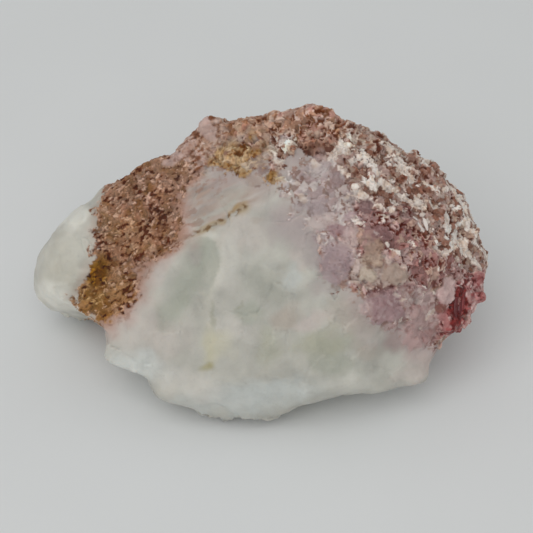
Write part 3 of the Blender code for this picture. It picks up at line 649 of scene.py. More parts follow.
# streaks and brown bits beside the band
striped = inside("striated", ragged, -0.8, 1.2) * facing * (0.55 + 0.5 * streak).clip(0, 0.95)
wash(tint, striped, quartzPaint("striated"))
nearBand = inside("band", 0, -7.5, -0.5) * facing * inside("striated", ragged, -1.5, 0.5)
paleBits = rankOf(streak + 0.6 * noiseAt(points, 0.5, 69))
paleBits = rise(paleBits, 0.9 - 0.5 * nearBand, 1.02 - 0.35 * nearBand) * nearBand
wash(tint, 0.75 * paleBits, quartzPaint("streakBits", 1))
darkBits = rankOf(0.7 * noiseAt(slant, 0.4, 70) - 0.4 * streak + 0.3 * noiseAt(points, 1.3, 71))
darkBits = rise(darkBits, 0.97 - 0.2 * nearBand, 1.0 - 0.1 * nearBand) * nearBand
wash(tint, 0.7 * darkBits, quartzPaint("fleck", 1))

# the vein: thin and dark by the band, wide and ochre at its far end
veinGap = gapToLine(veinLine, places + 0.25 * drift)
alongVein = rise(places[:, 0], -13, -4)
halo = (1 - rise(veinGap, 0.3, 0.7 + 0.9 * alongVein)) * facing * rise(noiseAt(points, 0.9, 38), -0.5, 0.3)
wash(tint, 0.55 * halo, quartzPaint("veinHalo", 1))
vein = 1 - rise(veinGap + 0.4 * noiseAt(points, 0.6, 68), 0.0, 0.3 + 0.5 * alongVein)
vein = vein * facing * rise(noiseAt(points, 0.55, 56), -0.15, 0.2)
wash(tint, 0.9 * vein, quartzPaint("vein", 1))

# a pink blush spreads from the band and the crust into the quartz beside them
blush = inside("band", drift[:, 0], -3.4, 0.4) * rightOfBand * 0.75 * facing
besideCrust = 0.65 * inside("crust", drift[:, 0], -4.5, 0.5) * facing
wash(tint, besideCrust, quartzPaint("lilacBlush"))
bandEdge = 0.9 * inside("band", 0.4 * drift[:, 0] + 0.5 * ragged, -1.6, 0.3)
bandEdge = bandEdge * (0.3 + 0.7 * rightOfBand) * facing
wash(tint, blush, quartzPaint("blush"))
wash(tint, bandEdge, quartzPaint("edge", 1))
flecks = rise(noises(points, (1, 0.55, 39), (0.4, 1.6, 40)), 0.42, 0.6)
flecks = flecks * rise(np.maximum(blush, besideCrust), 0.25, 0.7)
wash(tint, 0.55 * flecks, quartzPaint("fleck", 1))

crustLight = 0.87
# tones of each coarse part, each with its share; then its dark specks, how much of it they take,
# and how much of it is fine grained
crustTones = {
    "ridge": (((0.24, (163, 133, 116)), (0.22, (150, 115, 94)), (0.2, (182, 157, 142)), (0.18, (128, 90, 67)),
               (0.16, (158, 121, 108))), (94, 46, 16), 0.27, 0.25),
    "albite": (((0.2, (154, 131, 117)), (0.2, (134, 104, 92)), (0.2, (168, 149, 139)), (0.22, (120, 84, 70)),
                (0.18, (158, 134, 126))), (84, 40, 24), 0.26, 0.3),
    "lilac": (((0.26, (150, 119, 115)), (0.26, (132, 98, 94)), (0.18, (168, 142, 137)), (0.18, (112, 72, 66)),
               (0.12, (160, 133, 121))), (90, 34, 22), 0.28, 0.12),
    "fringe": (((0.3, (166, 150, 149)), (0.26, (186, 176, 172)), (0.22, (150, 132, 131)),
                (0.12, (168, 148, 140)), (0.1, (130, 100, 88))), (108, 66, 46), 0.16, 0.1),
    "beige": (((0.4, (164, 144, 134)), (0.28, (176, 158, 148)), (0.32, (148, 122, 112))),
              (104, 62, 48), 0.2, 0.3),
    "red": (((0.4, (108, 40, 38)), (0.35, (88, 28, 26)), (0.25, (138, 72, 70))), (58, 14, 14), 0.2, 0.6),
    "redPink": (((0.3, (164, 126, 122)), (0.26, (150, 104, 102)), (0.22, (180, 152, 148)),
                 (0.22, (130, 76, 75))), (94, 40, 38), 0.18, 0.6),
    "pinkLow": (((0.35, (162, 136, 132)), (0.3, (148, 118, 116)), (0.2, (174, 154, 149)),
                 (0.15, (136, 100, 96))), (104, 52, 44), 0.16, 0.2),
}


def crustPaint(colour):
    return paint(*colour) * crustLight


def tonesAt(tones, draw):
    shares = np.cumsum([share for share, colour in tones])
    index = np.searchsorted(shares / shares[-1], draw, side="right").clip(0, len(tones) - 1)
    return np.array([paint(*colour) for share, colour in tones])[index] * crustLight


def toneOf(name):
    tones, speck, speckShare, fineShare = crustTones[name]
    draw = np.where(middle["pick"] < 0.35 + 0.5 * fineShare, middle["draw"], large["draw"])
    draw = np.where(small["pick"] < fineShare, small["draw"], draw)
    colour = tonesAt(tones, draw)
    mottle = noises(points, (0.10, 0.9, 44), (0.13, 0.42, 73))
    # the tilt of each grain paints shade across it, lighter on one side and darker on the other, like a lit
    # facet
    mottle = mottle + 0.1 * small["lift"] + 0.5 * middle["tilt"] + 0.15 * large["tilt"]
    colour *= 1 + mottle[:, None]
    seams = (1 - rise(middle["border"], 0.03, 0.16)) * rise(noiseAt(points, 1.1, 45), -0.2, 0.3)
    dark = np.maximum(rise(pitRank, 1 - speckShare, 1 - 0.55 * speckShare), 0.35 * seams)
    wash(colour, 0.92 * dark, paint(*speck))
    return colour


# the sandy parts: clear patches with soft borders, dark pits and short pale flecks, with their shares
patchTones = {
    "band": {"tones": ((0.28, (146, 113, 92)), (0.22, (132, 98, 72)), (0.2, (156, 126, 108)),
                       (0.14, (118, 82, 52)), (0.16, (146, 108, 88))),
             "dusk": (118, 76, 46), "pit": (78, 32, 0), "pits": 0.28,
             "fleck": (184, 151, 134), "flecks": 0.26},
    "bandLow": {"tones": ((0.28, (144, 108, 74)), (0.22, (130, 93, 52)), (0.2, (160, 126, 98)),
                          (0.14, (114, 76, 34)), (0.16, (144, 104, 72))),
                "dusk": (112, 72, 28), "pit": (76, 34, 0), "pits": 0.27,
                "fleck": (184, 151, 124), "flecks": 0.2},
    "skyline": {"tones": ((0.3, (170, 144, 134)), (0.25, (160, 132, 120)), (0.25, (178, 154, 145)),
                          (0.2, (152, 120, 102))),
                "dusk": (140, 104, 76), "pit": (98, 52, 16), "pits": 0.27,
                "fleck": (194, 172, 162), "flecks": 0.12},
    "ochre": {"tones": ((0.3, (160, 132, 98)), (0.25, (150, 118, 80)), (0.25, (170, 145, 113)),
                        (0.2, (140, 106, 64))),
              "dusk": (130, 95, 46), "pit": (92, 50, 4), "pits": 0.26,
              "fleck": (184, 162, 134), "flecks": 0.1},
}


def patchTone(name, lift):
    make = patchTones[name]
    colour = tonesAt(make["tones"], np.where(middle["pick"] < 0.5, middle["draw"], large["draw"]))
    for turn in range(2):
        colour = spread(colour)
    mottle = noises(points, (0.12, 1.0, 44), (0.12, 0.4, 66)) + 0.16 * small["lift"] + lift
    colour *= 1 + mottle[:, None]
    wash(colour, 0.6 * rise(sandRank, 0.42, 0.84), crustPaint(make["dusk"]))
    dark = rise(sandRank, 1 - 1.3 * make["pits"], 1 - 0.1 * make["pits"])
    wash(colour, 0.95 * dark, crustPaint(make["pit"]))
    pale = rise(fleckRank, 1 - 1.2 * make["flecks"], 1 - 0.2 * make["flecks"]) * (1 - dark)
    wash(colour, 0.8 * pale, crustPaint(make["fleck"]))
    return colour


crustTint = toneOf("albite")
for name in ("ridge", "lilac", "fringe", "beige", "pinkLow", "redPink", "red"):
    within = inside(name, 0.9 * ragged + 0.9 * middle["lift"] + 0.6 * large["lift"], -0.2, 0.3)
    wash(crustTint, within, toneOf(name))
inOchre = inside("ochre", 1.3 * ragged + 1.6 * noiseAt(points, 1.6, 62) + middle["lift"], -1.8, 1.2)
wash(crustTint, inOchre, patchTone("ochre", 0))
atSkyline = rise(inSkyline + 0.8 * noiseAt(points, 0.6, 63), -0.6, 1.0) * (1 - inOchre)
wash(crustTint, atSkyline, patchTone("skyline", 0))

# the band: browner below, a mauve cast at its upper right, and two ochre spots at its lower left
bandCasts = {
    "mauve": (1.47, 0.88, 0.65),
    # an oval, and the share that it takes from red, green and blue
    "ochreSpot": ((-27.2, -1.8, 4.0, 2.9, 65), (0.4, 0.53, 0.94)),
    "lowSpot": ((-28.0, -5.8, 3.6, 2.6, 0), (0.08, 0.12, 0.4)),
}
lowBand = rise(1.0 - places[:, 1] - 0.9 * (places[:, 0] + 27) + 2 * noiseAt(points, 3.0, 46), -2, 4)
pinker = 0.08 * (rightOfBand - 0.5) + 0.08 * noiseAt(points, 3.2, 55)
bandTint = patchTone("band", pinker)
wash(bandTint, lowBand, patchTone("bandLow", pinker))
mauve = 0.3 * rightOfBand * rise(places[:, 1] + 0.4 * places[:, 0] + 1.5 * noiseAt(points, 2.5, 67), -4, 5)
wash(bandTint, mauve, bandTint.mean(axis=1)[:, None] * np.array(bandCasts["mauve"]))
spotRow, spotTakes = bandCasts["ochreSpot"]
ochreSpot = rise(1 - reachOf(spotRow, places + 0.5 * drift), 0, 0.6)
bandTint *= 1 - ochreSpot[:, None] * np.array(spotTakes)
spotRow, spotTakes = bandCasts["lowSpot"]
lowSpot = rise(1 - reachOf(spotRow, places + 0.5 * drift), 0, 0.7) * (1 - ochreSpot)
bandTint *= 1 - lowSpot[:, None] * np.array(spotTakes)
wash(crustTint, rise(inBand, -0.4, 0.4), bandTint)

# white albite runs through the crust in slanting strings, with brown beside them, partly the crust's own
# brown and partly painted shade along the strings
albiteStrings = {
    "turn": 38.0, "stretch": 2.5, "size": 1.2,
    "tones": ((0.7, (214, 202, 193)), (0.3, (196, 178, 164))),
    "beside": ((0.3, (92, 58, 46)), (0.3, (118, 86, 74)), (0.25, (138, 108, 98)), (0.15, (122, 94, 74))),
}
stringShifts = (  # across, up, half length, half width, turn, and how much more white there is
    (17.6, 13.0, 1.9, 3.0, 0, 0.45), (3.0, 19.4, 2.2, 1.2, 0, 0.35), (13.6, 20.0, 1.8, 1.4, 0, 0.45),
    (32.2, 7.4, 1.8, 2.4, 0, 0.4), (29.4, 10.8, 2.4, 1.6, 0, 0.5), (8.4, 17.8, 2.2, 1.6, 0, -0.7),
    (12.6, 11.8, 1.8, 2.2, 0, -0.4), (23.6, 8.2, 2.4, 1.7, -20, -0.4), (12.7, 15.6, 1.6, 1.6, 0, -0.2),
    (26.8, 7.2, 1.8, 1.5, 0, -0.4), (31.0, 3.4, 2.0, 1.6, 0, 0.4), (20.6, 12.2, 1.7, 1.8, 0, 0.45),
    (19.9, 17.7, 1.8, 1.3, 0, -0.3), (26.6, 3.4, 1.6, 1.4, 0, -0.4),
)
turned = math.radians(albiteStrings["turn"])
strings = drawnOut(points, (math.cos(turned), -math.sin(turned), 0), (math.sin(turned), math.cos(turned), 0),
                   albiteStrings["stretch"])
strung = 1.1 * noiseAt(strings, albiteStrings["size"], 47)
strung += 0.5 * middle["lift"] + 0.3 * small["lift"] + 0.2 * large["lift"] + 0.2 * noiseAt(points, 0.7, 48)
for *row, change in stringShifts:
    strung += change * (1 - rise(reachOf(row, places + 0.5 * drift), 0.3, 1.4))
inAlbite = inside("albite", ragged + middle["lift"], -1.0, 0.6)
wellIn = inside("crust", ragged, 0.5, 1.5)
white = np.maximum(inAlbite * rise(strung, 0.29, 0.36), wellIn * rise(strung, 0.66, 0.72))
white = np.maximum(white, inside("fringe", ragged, 0, 1) * rise(strung, 0.3, 0.6) * 0.7)
for name in ("ridge", "redPink", "ochre", "skyline", "beige"):
    white *= 1 - 0.85 * inside(name, ragged, -0.8, 0.6)
# partly painted shade: the brown darkens the crust along the white strings
beside = 0.75 * inAlbite * rise(strung, -0.05, 0.28)
beside = beside * rise(noiseAt(points, 0.75, 72) + 0.5 * middle["lift"], -0.1, 0.3)
brown = tonesAt(albiteStrings["beside"], small["draw"])
# the tilt of each brown grain paints shade across it
wash(crustTint, beside, brown * (1 + 0.45 * small["tilt"] + 0.3 * middle["tilt"])[:, None])
whiteTint = tonesAt(albiteStrings["tones"], small["draw"])
# the tilt of each white grain paints shade across it
whiteTint *= 1 + (0.25 * middle["tilt"] + 0.1 * middle["lift"])[:, None]
wash(crustTint, 0.92 * white, whiteTint)

# paler and darker clouds over the crust
crustClouds = (  # across, up, half length, half width, turn, and how it changes red, green and blue
    (3.0, 19.7, 2.2, 1.3, 0, 1.16, 1.3, 1.4), (3.3, 12.8, 1.8, 1.6, 0, 1.3, 1.5, 1.7),
    (12.7, 19.7, 1.8, 1.4, 0, 1.12, 1.16, 1.18), (21.0, -5.2, 2.2, 1.2, 0, 0.88, 0.84, 0.82),
    (8.4, 17.9, 2.3, 1.4, 0, 0.76, 0.7, 0.68), (2.8, 15.8, 1.6, 1.2, 0, 0.92, 0.88, 0.85),
    (12.5, 11.9, 1.7, 2.2, 0, 0.85, 0.8, 0.8), (17.4, 13.6, 1.9, 3.2, 0, 1.18, 1.22, 1.24),
    (23.6, 8.2, 2.4, 1.7, -20, 0.76, 0.7, 0.68), (30.8, 4.4, 1.8, 1.8, 0, 1.12, 1.16, 1.18),
    (32.2, 7.6, 2.0, 2.2, 0, 1.16, 1.2, 1.22), (28.0, 11.2, 2.2, 1.6, 0, 1.08, 1.1, 1.12),
    (-12.1, 15.4, 2.0, 1.4, 20, 1.12, 1.16, 1.18), (-5.2, 21.8, 4.5, 2.2, 15, 0.9, 0.85, 0.78),
    (-22.2, 11.4, 2.4, 1.6, 30, 0.74, 0.65, 0.54), (-16.7, 11.0, 2.2, 2.4, 30, 1.12, 1.07, 1.02),
    (-21.2, 6.8, 2.6, 2.0, 0, 1.08, 1.05, 1.0), (-27.4, -2.6, 1.8, 2.2, 0, 0.94, 0.84, 0.6),
    (-17.0, 13.8, 3.0, 1.0, 30, 1.06, 1.08, 1.08), (-22.4, -4.6, 2.0, 1.6, 0, 1.14, 1.16, 1.22),
    (28.6, 2.2, 4.6, 4.2, 0, 1.13, 1.12, 1.12), (25.6, 13.2, 3.4, 2.8, 0, 1.13, 1.12, 1.12),
    (34.2, -6.6, 2.6, 3.0, 0, 1.18, 1.26, 1.27), (3.3, 18.6, 2.8, 1.6, 0, 1.26, 1.38, 1.32),
    (8.7, 18.3, 3.1, 1.8, 0, 0.76, 0.58, 0.5), (15.8, 19.7, 3.0, 1.8, 0, 1.18, 1.26, 1.24),
    (-9.7, 18.4, 2.8, 1.6, 0, 1.18, 1.26, 1.3), (7.1, 23.7, 4.4, 1.9, 0, 1.1, 1.13, 1.22),
    (-4.5, 16.8, 4.4, 1.8, 0, 1.1, 1.06, 1.05), (-25.0, 7.6, 2.4, 3.8, 20, 1.08, 1.11, 1.08),
    (-24.0, -8.0, 2.4, 1.4, 30, 1.06, 1.02, 1.0), (-22.0, 3.8, 5.5, 3.8, 0, 1.0, 0.98, 0.84),
)
for row in crustClouds:
    share = 1 - rise(reachOf(row, places + 0.4 * drift), 0.4, 1.3)
    crustTint *= 1 + share[:, None] * (np.array(row[5:]) - 1)
wash(tint, crustShare * (1 - 0.35 * soft * (1 - inLump)), crustTint)

# the lumps and the clear blocks take their own tones; each raised block gets painted shade towards its lower
# right and a painted shadow along that side
for row, reach in zip(softLumps, lumps):
    share = 0.85 * rise(1.0 - reach, 0, 0.22) * rise(outward[:, 2], -0.1, 0.2)
    shade = 1 + 0.10 * noiseAt(points, 1.3, 8) + 0.06 * noiseAt(points, 0.6, 9)
    wash(tint, share, crustPaint(row[6]) * shade[:, None])
for row, reach in zip(clearBlocks, blocksReach):
    toRight = ((places[:, 0] - row[0]) / row[2] - (places[:, 1] - row[1]) / row[3]).clip(-1.5, 1.5)
    # painted shade: each block darkens towards its lower right
    shade = 1 + 0.08 * noiseAt(points, 1.5, 8) + 0.05 * noiseAt(points, 0.6, 9) - 0.05 * toRight
    # painted shadow along the lower right rim of each raised block
    blockShadow = rise(1.22 - reach, 0, 0.12) * rise(reach, 0.92, 1.02) * rise(toRight, 0.1, 0.8)
    blockShadow = blockShadow * rise(noiseAt(points, 0.8, 65), -0.3, 0.3)
    fade = 0.12 + 0.5 * rise(-toRight, -0.6, 1.2)
    share = row[7] * rise(1 - reach, -0.02 - 0.3 * (fade > 0.3) * fade, fade) * facing
    wash(tint, share, crustPaint(row[6]) * shade[:, None])
    wash(tint, 0.6 * blockShadow * facing * (row[5] > 0), crustPaint(blockShadowTone))
white *= crustShare * (1 - np.maximum(inLump, inBlock))

# painted shade darkens the hollows of the crust and painted light brightens its edges
bulge = ((points - spread(points)) * outward).sum(axis=1)
hollowShadeEdgeLight = np.clip(bulge / 0.06, -1, 1) * granular * (0.5 + 0.5 * sandy)
tint *= 1 + np.where(hollowShadeEdgeLight < 0, 0.4, 0.14)[:, None] * hollowShadeEdgeLight[:, None]
tint = tint.clip(0.003) * np.minimum(1, 0.92 / tint.max(axis=1))[:, None]
print("stone body: coloured")


def addLayer(mesh, name, values):
    if values.ndim == 1:
        mesh.attributes.new(name, "FLOAT", "POINT").data.foreach_set("value", values.astype(np.float32))
        return
    flat = np.ones((len(values), 4), np.float32)
    flat[:, :3] = values
    mesh.attributes.new(name, "FLOAT_COLOR", "POINT").data.foreach_set("color", flat.ravel())


addLayer(mesh, "tint", tint)
addLayer(mesh, "granular", granular)
addLayer(mesh, "sandy", sandy * granular)
addLayer(mesh, "clear", np.maximum(inLump, inside("red", ragged, -0.2, 0.4)))
mesh.polygons.foreach_set("use_smooth", [True] * len(mesh.polygons))


# a shader with its own roughness, shine and inner glow; the glow's depth is in mm
def newFinish(name, make):
    finish = bpy.data.materials.new(name)
    finish.use_nodes = True
    shader = finish.node_tree.nodes["Principled BSDF"]
    shader.inputs["Roughness"].default_value = make["roughness"]
    shader.inputs["Specular IOR Level"].default_value = make["specular"]
    shader.inputs["Subsurface Weight"].default_value = make["glow"]
    shader.inputs["Subsurface Radius"].default_value = (1.0, 0.85, 0.75)
    shader.inputs["Subsurface Scale"].default_value = make["glowDepth"] * 0.001
    place = finish.node_tree.nodes.new("ShaderNodeTexCoord").outputs["Object"]
    return finish, finish.node_tree, shader, place


def noiseNode(tree, place, size, detail):
    node = tree.nodes.new("ShaderNodeTexNoise")
    node.inputs["Scale"].default_value = 1000 / size
    node.inputs["Detail"].default_value = detail
    node.inputs["Roughness"].default_value = 0.6
    tree.links.new(place, node.inputs["Vector"])
    return node.outputs["Fac"]


def rampNode(tree, value, stops):
    node = tree.nodes.new("ShaderNodeValToRGB")
    ramp = node.color_ramp
    while len(ramp.elements) < len(stops):
        ramp.elements.new(0.5)
    for element, (position, shade) in zip(ramp.elements, stops):
        element.position = position
        element.color = (*shade, 1) if isinstance(shade, tuple) else (shade, shade, shade, 1)
    tree.links.new(value, node.inputs["Fac"])
    return node.outputs["Color"]


# a noise of a size in mm, turned into shades
def mottleNode(tree, place, size, detail, stops):
    return rampNode(tree, noiseNode(tree, place, size, detail), stops)


def blendNode(tree, mode, share, first, second):
    node = tree.nodes.new("ShaderNodeMix")
    node.data_type = "RGBA"
    node.blend_type = mode
    node.clamp_result = False
    for index, value in ((0, share), (6, first), (7, second)):
        if isinstance(value, (int, float, tuple)):
            node.inputs[index].default_value = value
        else:
            tree.links.new(value, node.inputs[index])
    return node.outputs[2]


def bumpNode(tree, height, distance, strength, under=None):
    node = tree.nodes.new("ShaderNodeBump")
    node.inputs["Strength"].default_value = strength
    node.inputs["Distance"].default_value = distance * 0.001
    tree.links.new(height, node.inputs["Height"])
    if under:
        tree.links.new(under, node.inputs["Normal"])
    return node.outputs["Normal"]


def layerNode(tree, name, output="Color"):
    node = tree.nodes.new("ShaderNodeAttribute")
    node.attribute_name = name
    return node.outputs[output]


# milky quartz: clouds under a waxy broken skin; the granular parts get grit and the band gets sugary cells
quartzFinish = {
    "roughness": 0.42, "specular": 0.28, "glow": 0.75, "glowDepth": 1.6,
    "clouds": (2.2, 4, ((0.3, 0.93), (0.5, 1.0), (0.72, 1.05))),  # size in mm, detail, shades
    "specks": (0.55, 2, ((0.2, 0.55), (0.36, 1.0), (0.8, 1.04))), "specksShare": 0.15,
    "grit": (0.5, 4, ((0.3, 0.86), (0.5, 1.0), (0.72, 1.08))),
    "sugarSize": 0.5, "sugar": ((0.0, 0.84), (0.35, 0.98), (0.7, 1.03), (1.0, 1.14)),
    "waxy": (1.1, 3, ((0.3, 0.34), (0.7, 0.6))), "grainRoughness": 0.8, "clearRoughness": 0.26,
    "lowBump": (1.3, 0.25, 0.35), "fineBump": (0.3, 0.08, 0.4),  # size and depth in mm, strength
}


def makeQuartzFinish(make):
    finish, tree, shader, place = newFinish("milkyQuartz", make)
    tint = layerNode(tree, "tint")
    granular = layerNode(tree, "granular", "Fac")
    clouds, specks, grit = [mottleNode(tree, place, *make[name]) for name in ("clouds", "specks", "grit")]
    cells = tree.nodes.new("ShaderNodeTexVoronoi")
    cells.inputs["Scale"].default_value = 1000 / make["sugarSize"]
    tree.links.new(place, cells.inputs["Vector"])
    sugar = rampNode(tree, cells.outputs["Color"], make["sugar"])
    clear = blendNode(tree, "MULTIPLY", 1.0, tint, clouds)
    clear = blendNode(tree, "MULTIPLY", make["specksShare"], clear, specks)
    dusty = blendNode(tree, "MULTIPLY", 1.0, tint, grit)
    dusty = blendNode(tree, "MULTIPLY", layerNode(tree, "sandy", "Fac"), dusty, sugar)
    tree.links.new(blendNode(tree, "MIX", granular, clear, dusty), shader.inputs["Base Color"])
    bump = None
    for size, depth, strength in (make["lowBump"], make["fineBump"]):
        bump = bumpNode(tree, noiseNode(tree, place, size, 3), depth, strength, bump)
    tree.links.new(bump, shader.inputs["Normal"])
    rough = mottleNode(tree, place, *make["waxy"])
    rough = blendNode(tree, "MIX", granular, rough, (*[make["grainRoughness"]] * 3, 1))
    rough = blendNode(tree, "MIX", layerNode(tree, "clear", "Fac"), rough, (*[make["clearRoughness"]] * 3, 1))
    tree.links.new(rough, shader.inputs["Roughness"])
    return finish


body.data.materials.clear()
body.data.materials.append(makeQuartzFinish(quartzFinish))
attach(body, "root")
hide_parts("stone")


def hullOf(spots):
    work = bmesh.new()
    for spot in spots:
        work.verts.new(spot)
    bmesh.ops.convex_hull(work, input=work.verts)
    bmesh.ops.delete(work, geom=[v for v in work.verts if not v.link_faces], context="VERTS")
    bmesh.ops.triangulate(work, faces=work.faces)
    bmesh.ops.recalc_face_normals(work, faces=work.faces)
    work.verts.index_update()
    corners = np.array([v.co[:] for v in work.verts])
    faces = np.array([[v.index for v in f.verts] for f in work.faces])
    work.free()
    return corners, faces


# many-cornered crumbs
def shardShapes(count, corners, seed):
    chance = np.random.default_rng(seed)
    shapes = []
    for turn in range(count):
        spots = chance.normal(size=(corners, 3))
        spots *= chance.uniform(0.85, 1.1, (corners, 1)) / np.linalg.norm(spots, axis=1)[:, None]
        shapes.append(hullOf(spots))
    return shapes


# broken grains that lie in the surface: uneven sides, and a top of a few flat faces
def grainShapes(count, sides, topShare, dome, seed):
    chance = np.random.default_rng(seed)
    shapes = []
    for turn in range(count):
        many = int(chance.integers(sides[0], sides[1] + 1))
        angle = (np.arange(many) + chance.uniform(-0.3, 0.3, many)) * 2 * math.pi / many
        radius = chance.uniform(0.68, 1.12, many)
        ring = np.stack([np.cos(angle) * radius, np.sin(angle) * radius], axis=1)
        shift = chance.uniform(-0.15, 0.15, 2)
        top = ring * chance.uniform(*topShare) + shift
        top = np.column_stack([top, 1 - dome * chance.uniform(0, 1, many)])
        bottom = np.column_stack([ring, np.full(many, -1.0)])
        shapes.append(hullOf(np.concatenate([top, bottom])))
    return shapes


def randomTurns(chance, count):
    q = chance.normal(size=(count, 4))
    w, x, y, z = (q / np.linalg.norm(q, axis=1)[:, None]).T
    rows = (
        (1 - 2 * (y * y + z * z), 2 * (x * y - z * w), 2 * (x * z + y * w)),
        (2 * (x * y + z * w), 1 - 2 * (x * x + z * z), 2 * (y * z - x * w)),
        (2 * (x * z - y * w), 2 * (y * z + x * w), 1 - 2 * (x * x + y * y)),
    )
    return np.array(rows).transpose(2, 0, 1)


# turns that lay a shape's own Z along the surface's outward direction, tipped a little
def layingTurns(chance, outward, tip):
    up = outward + chance.normal(size=outward.shape) * tip
    up /= np.linalg.norm(up, axis=1)[:, None]
    side = np.cross(up, chance.normal(size=outward.shape))
    side /= np.linalg.norm(side, axis=1)[:, None]
    return np.stack([side, np.cross(up, side), up], axis=2)


# what grains take from the skin under them
skin = {"outward": normalsOf(points), "tone": tint, "white": white[:, None]}
for turn in range(4):
    skin["outward"] = spread(skin["outward"])
skin["outward"] /= np.linalg.norm(skin["outward"], axis=1)[:, None]
corners = points[faces]
areas = np.cross(corners[:, 1] - corners[:, 0], corners[:, 2] - corners[:, 0])
areas = 0.5 * np.linalg.norm(areas, axis=1)
floorMargin = 0.9  # mm over the floor without loose grains


# a value of the skin at places inside its triangles
def mixOf(values, pick, weights):
    return sum(weight * values[faces[pick, k]] for k, weight in enumerate(weights))


# loose places over the skin: one to each cell of the given size, kept by the share asked for there
def scatter(spacing, seed, shareAt, perCell=9):
    chance = np.random.default_rng(seed)
    count = int(areas.sum() / spacing ** 2 * perCell)
    pick = chance.choice(len(faces), count, p=areas / areas.sum())
    a, b = chance.uniform(0, 1, (2, count, 1))
    flip = a + b > 1
    a, b = np.where(flip, 1 - a, a), np.where(flip, 1 - b, b)
    weights = (1 - a - b, a, b)
    spots = mixOf(points, pick, weights)
    cell = np.floor(spots @ randomTurns(chance, 1)[0].T / spacing).astype(np.int64)
    key = (cell[:, 0] * 4096 + cell[:, 1]) * 4096 + cell[:, 2]  # one number for each cell
    first = np.unique(key, return_index=True)[1]
    first = first[toStone(spots[first])[:, 2] > floorMargin]
    first = first[chance.uniform(0, 1, len(first)) < shareAt(spots[first])]
    pick, weights = pick[first], [weight[first] for weight in weights]
    lying = {name: mixOf(skin[name], pick, weights) for name in ("outward", "tone", "white")}
    lying["outward"] /= np.linalg.norm(lying["outward"], axis=1)[:, None]
    lying["white"] = lying["white"][:, 0]
    return {**lying, "spots": spots[first], "chance": chance, "count": len(first)}


def keepSome(lying, keep):
    kept = {name: lying[name][keep] for name in ("spots", "outward", "tone", "white")}
    return {**kept, "chance": lying["chance"], "count": int(keep.sum())}


# one object from many small closed shapes
def jointMesh(name, parts):
    coords, faces, colours, base = [], [], [], 0
    for spots, triangles, colour in parts:
        coords.append(spots)
        faces.append(triangles + base)
        colours.append(colour)
        base += len(spots)
    coords, faces, colours = np.concatenate(coords), np.concatenate(faces), np.concatenate(colours)
    inStone = toStone(coords)
    inStone[:, 2] = np.maximum(inStone[:, 2], 0.02)
    mesh = bpy.data.meshes.new(name)
    mesh.vertices.add(len(coords))
    mesh.loops.add(len(faces) * 3)
    mesh.polygons.add(len(faces))
    mesh.vertices.foreach_set("co", (inStone * 0.001).ravel())
    mesh.loops.foreach_set("vertex_index", faces.ravel().astype(np.int32))
    mesh.polygons.foreach_set("loop_start", np.arange(0, len(faces) * 3, 3, dtype=np.int32))
    mesh.update(calc_edges=True)
    mesh.shade_flat()
    addLayer(mesh, "tint", colours.clip(0.003, 0.92))
    piece = bpy.data.objects.new(name, mesh)
    scene.collection.objects.link(piece)
    print(name + ":", len(faces), "triangles")
    return piece


def placeShapes(shapes, chance, centres, turns, sizes, colours):
    which = chance.integers(len(shapes), size=len(centres))
    parts = []
    for k, (coords, triangles) in enumerate(shapes):
        mine = np.flatnonzero(which == k)
        if not len(mine):
            continue
        placed = np.einsum("nij,nvj->nvi", turns[mine], coords[None] * sizes[mine][:, None, :])
        placed += centres[mine][:, None, :]
        faces = triangles[None] + (np.arange(len(mine)) * len(coords))[:, None, None]
        shade = np.repeat(colours[mine], len(coords), axis=0)
        parts.append((placed.reshape(-1, 3), faces.reshape(-1, 3), shade))
    return parts


crumbs = shardShapes(24, 8, 51)
blocks = grainShapes(36, (4, 7), (0.55, 0.9), 0.75, 52)
flakes = grainShapes(20, (4, 7), (0.8, 0.97), 0.5, 53)
grainLook = {"mottleSize": 0.45, "shineSize": 0.7, "bumpSize": 0.25, "bumpDepth": 0.06}  # mm


def makeGrainFinish(name, make):
    finish, tree, shader, place = newFinish(name, make)
    grit, roughness = make["grit"], make["roughness"]
    mottle = ((0.28, 1 - grit), (0.5, 1.0), (0.75, 1 + 0.6 * grit))
    mottle = mottleNode(tree, place, grainLook["mottleSize"], 4, mottle)
    colour = blendNode(tree, "MULTIPLY", 1.0, layerNode(tree, "tint"), mottle)
    tree.links.new(colour, shader.inputs["Base Color"])
    shine = ((0.35, roughness * 0.7), (0.7, min(1.0, roughness * 1.4)))
    tree.links.new(mottleNode(tree, place, grainLook["shineSize"], 2, shine), shader.inputs["Roughness"])
    bump = noiseNode(tree, place, grainLook["bumpSize"], 3)
    tree.links.new(bumpNode(tree, bump, grainLook["bumpDepth"], 0.6), shader.inputs["Normal"])
    return finish


def finishPiece(name, parts, make):
    piece = jointMesh(name, parts)
    piece.data.materials.append(makeGrainFinish(name, make))
    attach(piece, "root")


def inZone(name, spots):
    return rise(depthInside(zones[name], onDrawing(spots)) + raggedEdge(spots), -0.3, 0.5)


def sizesOf(chance, count, broad, deep):
    wide = chance.uniform(*broad, (count, 1)) * chance.uniform(0.6, 1.35, (count, 2))
    return np.concatenate([wide, chance.uniform(*deep, (count, 1))], axis=1)


# grains that lie in the surface and take its tone
def layGrains(lying, make, shapes):
    chance, count = lying["chance"], lying["count"]
    shade = 1 + make["shade"] * chance.normal(size=(count, 1))
    centres = lying["spots"] + lying["outward"] * chance.uniform(*make["step"], (count, 1))
    turns = layingTurns(chance, lying["outward"], make["tip"])
    sizes = sizesOf(chance, count, make["broad"], make["deep"])
    return placeShapes(shapes, chance, centres, turns, sizes, lying["tone"] * shade)


# crumbs at every turn
def layCrumbs(lying, make):
    chance, count = lying["chance"], lying["count"]
    shade = 1 + make["shade"] * chance.normal(size=(count, 1))
    sizes = chance.uniform(*make["size"], (count, 1)) * chance.uniform(0.6, 1.4, (count, 3))
    centres = lying["spots"] + lying["outward"] * chance.uniform(*make["step"], (count, 1))
    return placeShapes(crumbs, chance, centres, randomTurns(chance, count), sizes, lying["tone"] * shade)


